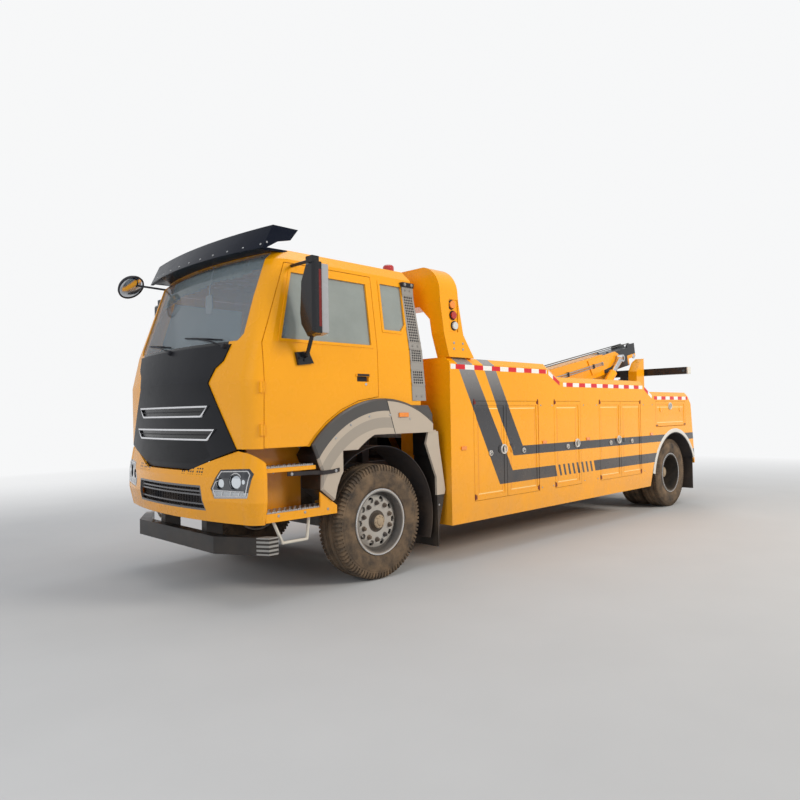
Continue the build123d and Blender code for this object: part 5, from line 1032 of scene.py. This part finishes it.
def lock(ring, dish, x, z, side):
    at = (x, side * DOOR_FACE_Y, z)
    ring.lathe([(-0.004, 0.03), (0.006, 0.03), (0.01, 0.026), (0.008, 0.021), (-0.004, 0.019)], at, (0, side, 0), 32,
        wrap=True)
    ring.tube([(x - 0.02, side * 1.257, z + 0.006), (x + 0.006, side * 1.262, z + 0.012),
        (x + 0.024, side * 1.259, z - 0.014)], 0.0045, 8, 4)
    dish.lathe([(-0.004, 0.0195), (0.001, 0.0195), (0.002, 0.006), (0.006, 0.005), (0.006, 0)], at, (0, side, 0), 24)


def make_fittings(shapes, names, pins_name, body):
    """names leaves a place open for plug, ring and dish."""
    for shape, kind, finish in zip(shapes, ("plug", "ring", "dish"), ("banded_paint", "bright_trim", "black_plastic")):
        make(shape, names % kind, finish, body)
    make(shapes[3], pins_name, "pin_red", body)


for side, word in SIDES:
    for number, (hinge, free, latch_x, lock_x, recess) in LEAVES.items():
        plug, rings, dishes, pins = shapes = [Shape() for _ in range(4)]
        if latch_x is not None:
            latch(rings, dishes, latch_x, 1.105, side)
        lock(rings, dishes, lock_x, 1.073, side)
        inward = -1 if free < hinge else 1
        for z in (0.597, 1.592):
            pins.lathe([(0, 0.006), (0.002, 0.008), (0.058, 0.008), (0.06, 0.006), (0.06, 0)],
                (hinge + inward * 0.01, side * 1.2495, z), (0, 0, 1), 14)
            pins.box(sorted((hinge + inward * 0.004, hinge + inward * 0.038)), sorted((side * 1.246, side * 1.2535)),
                (z + 0.006, min(z + 0.05, 1.626)), 0.0015, 1)
        plug.lathe(PLUG, (recess, side * DOOR_FACE_Y, 1.109), (0, side, 0), 32)
        leaf = "%d_%s" % (number, word)
        make_fittings(shapes, "latch_%s_" + leaf, "hinge_pins_" + leaf, "locker_door_" + leaf)
    plug, rings, dishes, pins = shapes = [Shape() for _ in range(4)]
    for x in (-5.758, -6.458):
        plug.lathe(PLUG, (x, side * DOOR_FACE_Y, 1.512), (0, side, 0), 32)
    latch(rings, dishes, -6.073, 1.56, side)
    for x in (-5.6, -6.612):
        pins.box((x - 0.03, x + 0.03), sorted((side * 1.246, side * 1.2545)), (1.262, 1.279), 0.002, 1)
    make_fittings(shapes, "flap_%s_" + word, "flap_pins_" + word, "tool_flap_" + word)


# Body side: arch trim, gantry lamps' rings, bolt rows

shape = Shape()
shape.arc((-6.2385, 0.391), ((0.757, 1.236), (0.759, 1.2545), (0.767, 1.259), (0.807, 1.258), (0.817, 1.253),
    (0.819, 1.246)), 12, 143, 96)
make(shape.both_sides(), "arch_trim", "bright_trim", sharp=50)

shape = Shape()
r = 0.04
for z in (2.605, 2.5, 2.395):
    shape.lathe([(-0.004, r + 0.009), (0.006, r + 0.008), (0.01, r + 0.002), (0.006, r), (-0.004, r)],
        (-0.945 - (2.605 - z) * 0.19, 1.2315, z), (0, 1, 0), 36, wrap=True)
make(shape.both_sides(), "gantry_lamp_rings", "black_plastic")

shape = Shape()
for x in (-0.97, -1.11):
    for z in (2.16, 2.22):
        at, _ = land((x, 1.6, z), INWARD, "light_gantry")
        if 1.0 < at.y < 1.26:
            shape.bolt(at, (0, 1, 0), 0.009, 0.008)
for x in (-2.5, -2.74, -3.47, -3.8, -5.16, -5.45):
    for z in (0.62, 1.58):
        shape.bolt((x, 1.25, z), (0, 1, 0), 0.0065, 0.005)
make(shape.both_sides(), "body_bolts", "steel_dull")


# Boom: pipes, their clips, pin caps and rope keeper

PIPE_Y = 0.186
PIPE_UPS = (0.066, 0.034)
HEAD_PIN = 4.8


def boom_line(t, across, up):
    """A place along the boom: t metres from its pivot toward the head, up from its middle line."""
    return (BOOM_FOOT_X - t * BOOM_COS + up * BOOM_SIN, across, BOOM_FOOT_Z + t * BOOM_SIN + up * BOOM_COS)


shape = Shape()
for side, _ in SIDES:
    for up in PIPE_UPS:
        shape.tube([boom_line(t, side * PIPE_Y, up) for t in (0.55, 2.0, 3.6)], 0.01, 10, 4)
    for t, ahead in ((0.55, 1), (3.6, -1)):
        for up in PIPE_UPS:
            shape.lathe([(-0.02, 0.016), (0.02, 0.016), (0.024, 0.012), (0.024, 0)], boom_line(t, side * PIPE_Y, up),
                (ahead, 0, 0), 6)
make(shape, "boom_pipes", "steel_dull", "boom")
shape = Shape()
for side, _ in SIDES:
    for t in (0.9, 1.7, 2.5, 3.3):
        clip = [boom_line(t + dt, 0, up)[::2] for dt, up in (
            (-0.022, 0.014), (0.022, 0.014), (0.022, 0.086), (-0.022, 0.086))]
        shape.prism(clip, "y", *sorted((side * 0.176, side * 0.2)), 0.005, 2)
make(shape, "boom_pipe_clips", "black_plastic", "boom")

shape = Shape()
for side, _ in SIDES:
    shape.lathe([(-0.004, 0.042), (0.006, 0.042), (0.01, 0.037), (0.011, 0.016), (0.016, 0.014), (0.017, 0)],
        boom_line(HEAD_PIN, side * 0.1505, 0.0), (0, side, 0), 32)
make(shape, "head_pin_caps", "chrome", "boom_extension")
shape = Shape()
for side, _ in SIDES:
    shape.tube([boom_line(t, side * across, up) for t, across, up in (
        (HEAD_PIN, 0.115, 0.15), (4.45, 0.1, 0.165), (4.12, 0.09, 0.162), (3.98, 0.085, 0.19))], 0.011, 10, 6)
for t, up in ((HEAD_PIN, 0.15), (4.12, 0.162)):
    shape.tube([boom_line(t, -0.115, up), boom_line(t, 0.115, up)], 0.011, 10)
make(shape, "rope_keeper", "black_paint", "boom_extension")


# Seats, the drawn-up sun curtain and the inside mirror

SEAT_Y = 0.62
CUSHION_POWER = 5.0


def cushion(name, middle, size, crown, channels=(), lean=0.0, replaces=()):
    """A sewn pad: sides pull in between its corners, its face is crowned and crossed by sewn channels."""
    shape = Shape()
    bmesh.ops.create_cube(shape.bm, size=2.0)
    bmesh.ops.subdivide_edges(shape.bm, edges=shape.bm.edges[:], cuts=23, use_grid_fill=True)
    hx, hy, hz = (s / 2 for s in size)
    lean = math.radians(lean)
    c, s = math.cos(lean), math.sin(lean)
    for v in shape.bm.verts:
        norm = sum(abs(e) ** CUSHION_POWER for e in v.co) ** (1 / CUSHION_POWER)
        a, b, t = (e / norm for e in v.co)
        edge = (1 - a * a) * (1 - b * b)
        x, y, z = a * hx, b * hy, t * hz
        x *= 1 - 0.035 * (1 - b * b) * (abs(a) > 0.6)
        y *= 1 - 0.035 * (1 - a * a) * (abs(b) > 0.6)
        z += math.copysign(crown * edge ** 0.7, t) * (abs(t) > 0.3)
        if t > 0.3:
            for k in channels:
                z -= 0.007 * math.exp(-((a - k) * hx / 0.008) ** 2)
            z -= 0.006 * math.exp(-((abs(b) - 0.62) * hy / 0.008) ** 2)
        z += 0.0015 * math.sin(37 * a + 3 * b) * math.sin(29 * b - a)
        v.co = (AXLE_X + middle[0] + x * c + z * s, middle[1] + y, middle[2] - x * s + z * c)
    make(shape, name, "seat_fabric", "chassis", replaces, sharp=80)


for side, word in SIDES:
    y = SEAT_Y * side
    cushion("seat_base_" + word, (0.2, y, 1.95), (0.46, 0.49, 0.105), 0.011, (-0.35, 0.3),
        replaces=["seats"] if side > 0 else ())
    cushion("seat_back_" + word, (-0.055, y, 2.275), (0.57, 0.47, 0.105), 0.01, (-0.45, 0.0, 0.45), -102.5)
    cushion("head_rest_" + word, (-0.135, y, 2.642), (0.165, 0.25, 0.08), 0.008, (), -100)
shape = Shape()
shape.box((0.04, 0.24), (0.44, 0.8), (1.6415, 1.8), 0.012)
shape.box((-0.02, 0.42), (0.4, 0.84), (1.8, 1.888), 0.016)
for dy in (-0.06, 0.06):
    shape.tube([(-0.115, SEAT_Y + dy, 2.53), (-0.125, SEAT_Y + dy, 2.59)], 0.007, 10, 1)
shape.tube([(0.16, 0.86, 1.86), (0.05, 0.865, 1.865), (-0.02, 0.86, 1.9)], 0.012, 8)
make(shape.both_sides(), "seat_frames", "black_plastic")

CURTAIN_TOP_Z = 2.878
CURTAIN_PLEATS = 31
CURTAIN_COLUMNS, CURTAIN_ROWS = CURTAIN_PLEATS * 8, 14


def curtain():
    """A gathered sheet behind the windscreen, with its lower edge slanting up to one side."""
    def screen_x(y, z):
        return land((BEYOND_FRONT, y, z), REARWARD, "cab_glass")[0].x

    shape = Shape()
    grid = []
    for i in range(CURTAIN_COLUMNS + 1):
        s = i / CURTAIN_COLUMNS
        y = -0.84 + 1.68 * s
        wave = 2 * math.pi * CURTAIN_PLEATS * s + 0.9 * math.sin(11 * s) + 0.5 * math.sin(23 * s + 1)
        drop = 0.245 - 0.115 * s + 0.012 * math.sin(17 * s) + 0.006 * math.sin(wave * 0.5)
        column = []
        for k in range(CURTAIN_ROWS + 1):
            t = k / CURTAIN_ROWS
            z = CURTAIN_TOP_Z - drop * t
            if k % 7 == 0:
                base, base_t = screen_x(y, max(z, 2.4)), t
            depth = 0.009 + 0.01 * t + 0.003 * math.sin(40 * s + 6 * t)
            x = base + (t - base_t) * 0.05 - 0.045 + depth * math.sin(wave + 0.5 * math.sin(5 * t + 9 * s))
            sway = 0.006 * math.cos(wave) * (0.3 + t)
            column.append(shape.vert((x, y + sway, z)))
        grid.append(column)
    for a, b in zip(grid, grid[1:]):
        for k in range(CURTAIN_ROWS):
            shape.bm.faces.new((a[k], a[k + 1], b[k + 1], b[k]))
    return shape


cloth = make(curtain(), "sun_curtain", "curtain_cloth", sharp=80)

shape = Shape()
glass_x = first_x(0.165, 2.6, "cab_glass") - 0.075
shape.tube([(glass_x, 0.165, 2.6), (glass_x - 0.015, 0.165, 2.72), (glass_x - 0.05, 0.165, 2.87)], 0.007, 8)
shape.prism([(0.115, 2.44), (0.215, 2.44), (0.222, 2.52), (0.215, 2.61), (0.115, 2.61), (0.108, 2.52)],
    "x", glass_x - 0.008, glass_x + 0.008, 0.006, 3)
make(shape, "inside_mirror", "grey_plastic")


# Floor, world and lights

BACKDROP = (0.93, 0.935, 0.94)
LAMPS_LOOK_AT = Vector((0.0, 0.0, 1.2))


def add_floor():
    """A pale floor that keeps the truck's shadow and melts into the backdrop far away."""
    mesh = bpy.data.meshes.new("floor")
    bm = bmesh.new()
    bmesh.ops.create_circle(bm, cap_ends=True, segments=96, radius=140.0)
    bm.to_mesh(mesh)
    floor = bpy.data.objects.new("floor", mesh)
    bpy.context.scene.collection.objects.link(floor)
    n = material("floor")
    x, y, _ = n.xyz()
    far = n.ramp((x * x + y * y).root(), 6.5, 15.0)
    tone = n.noise(1.4, 5.0) * 0.04 + 0.47
    tint = n.add("CombineColor", 0, {i: tone for i in range(3)})
    diffuse = n.add("BsdfDiffuse", 0, {"Color": tint})
    glow = n.add("Emission", 0, {"Color": BACKDROP})
    n.show(n.add("MixShader", 0, {0: far, 1: diffuse, 2: glow}))
    mesh.materials.append(MATERIALS["floor"])


def add_world():
    """The camera, glass and, in part, metal see the backdrop; all else gets a softer light."""
    world = bpy.data.worlds.new("world")
    bpy.context.scene.world = world
    n = Nodes(world, "World")
    soft = n.add("Background", 0, {"Color": (0.86, 0.9, 0.96), "Strength": 0.45})
    shown = n.add("Background", 0, {"Color": BACKDROP, "Strength": 1.0})
    camera, through, glossy = (n.add("LightPath", "Is %s Ray" % kind, {})
        for kind in ("Camera", "Transmission", "Glossy"))
    seen = n.math("MULTIPLY_ADD", glossy, 0.45, camera | through)
    n.show(n.add("MixShader", 0, {0: seen, 1: soft, 2: shown}))


def add_area(name, at, size, watts, tint=(1.0, 1.0, 1.0), mirrored=False):
    data = bpy.data.lights.new(name, "AREA")
    data.shape = "SQUARE"
    data.size = size
    data.energy = watts
    data.color = tint
    lamp = bpy.data.objects.new(name, data)
    lamp.location = at
    lamp.visible_glossy = mirrored
    lamp.rotation_euler = (LAMPS_LOOK_AT - Vector(at)).to_track_quat("-Z", "Y").to_euler()
    bpy.context.scene.collection.objects.link(lamp)


add_floor()
add_world()
add_area("key", (-4.5, 13.0, 7.5), 5.0, 1560.0, (1.0, 0.95, 0.86))
add_area("top", (1.0, 0.0, 12.0), 9.0, 480.0, mirrored=True)
add_area("front", (13.0, 4.0, 5.0), 6.0, 420.0, (0.92, 0.96, 1.0))
add_area("back", (-13.0, -5.0, 6.0), 6.0, 500.0)
add_area("far_side", (2.0, -13.0, 6.0), 7.0, 600.0)

bpy.context.scene.view_settings.view_transform = "Standard"
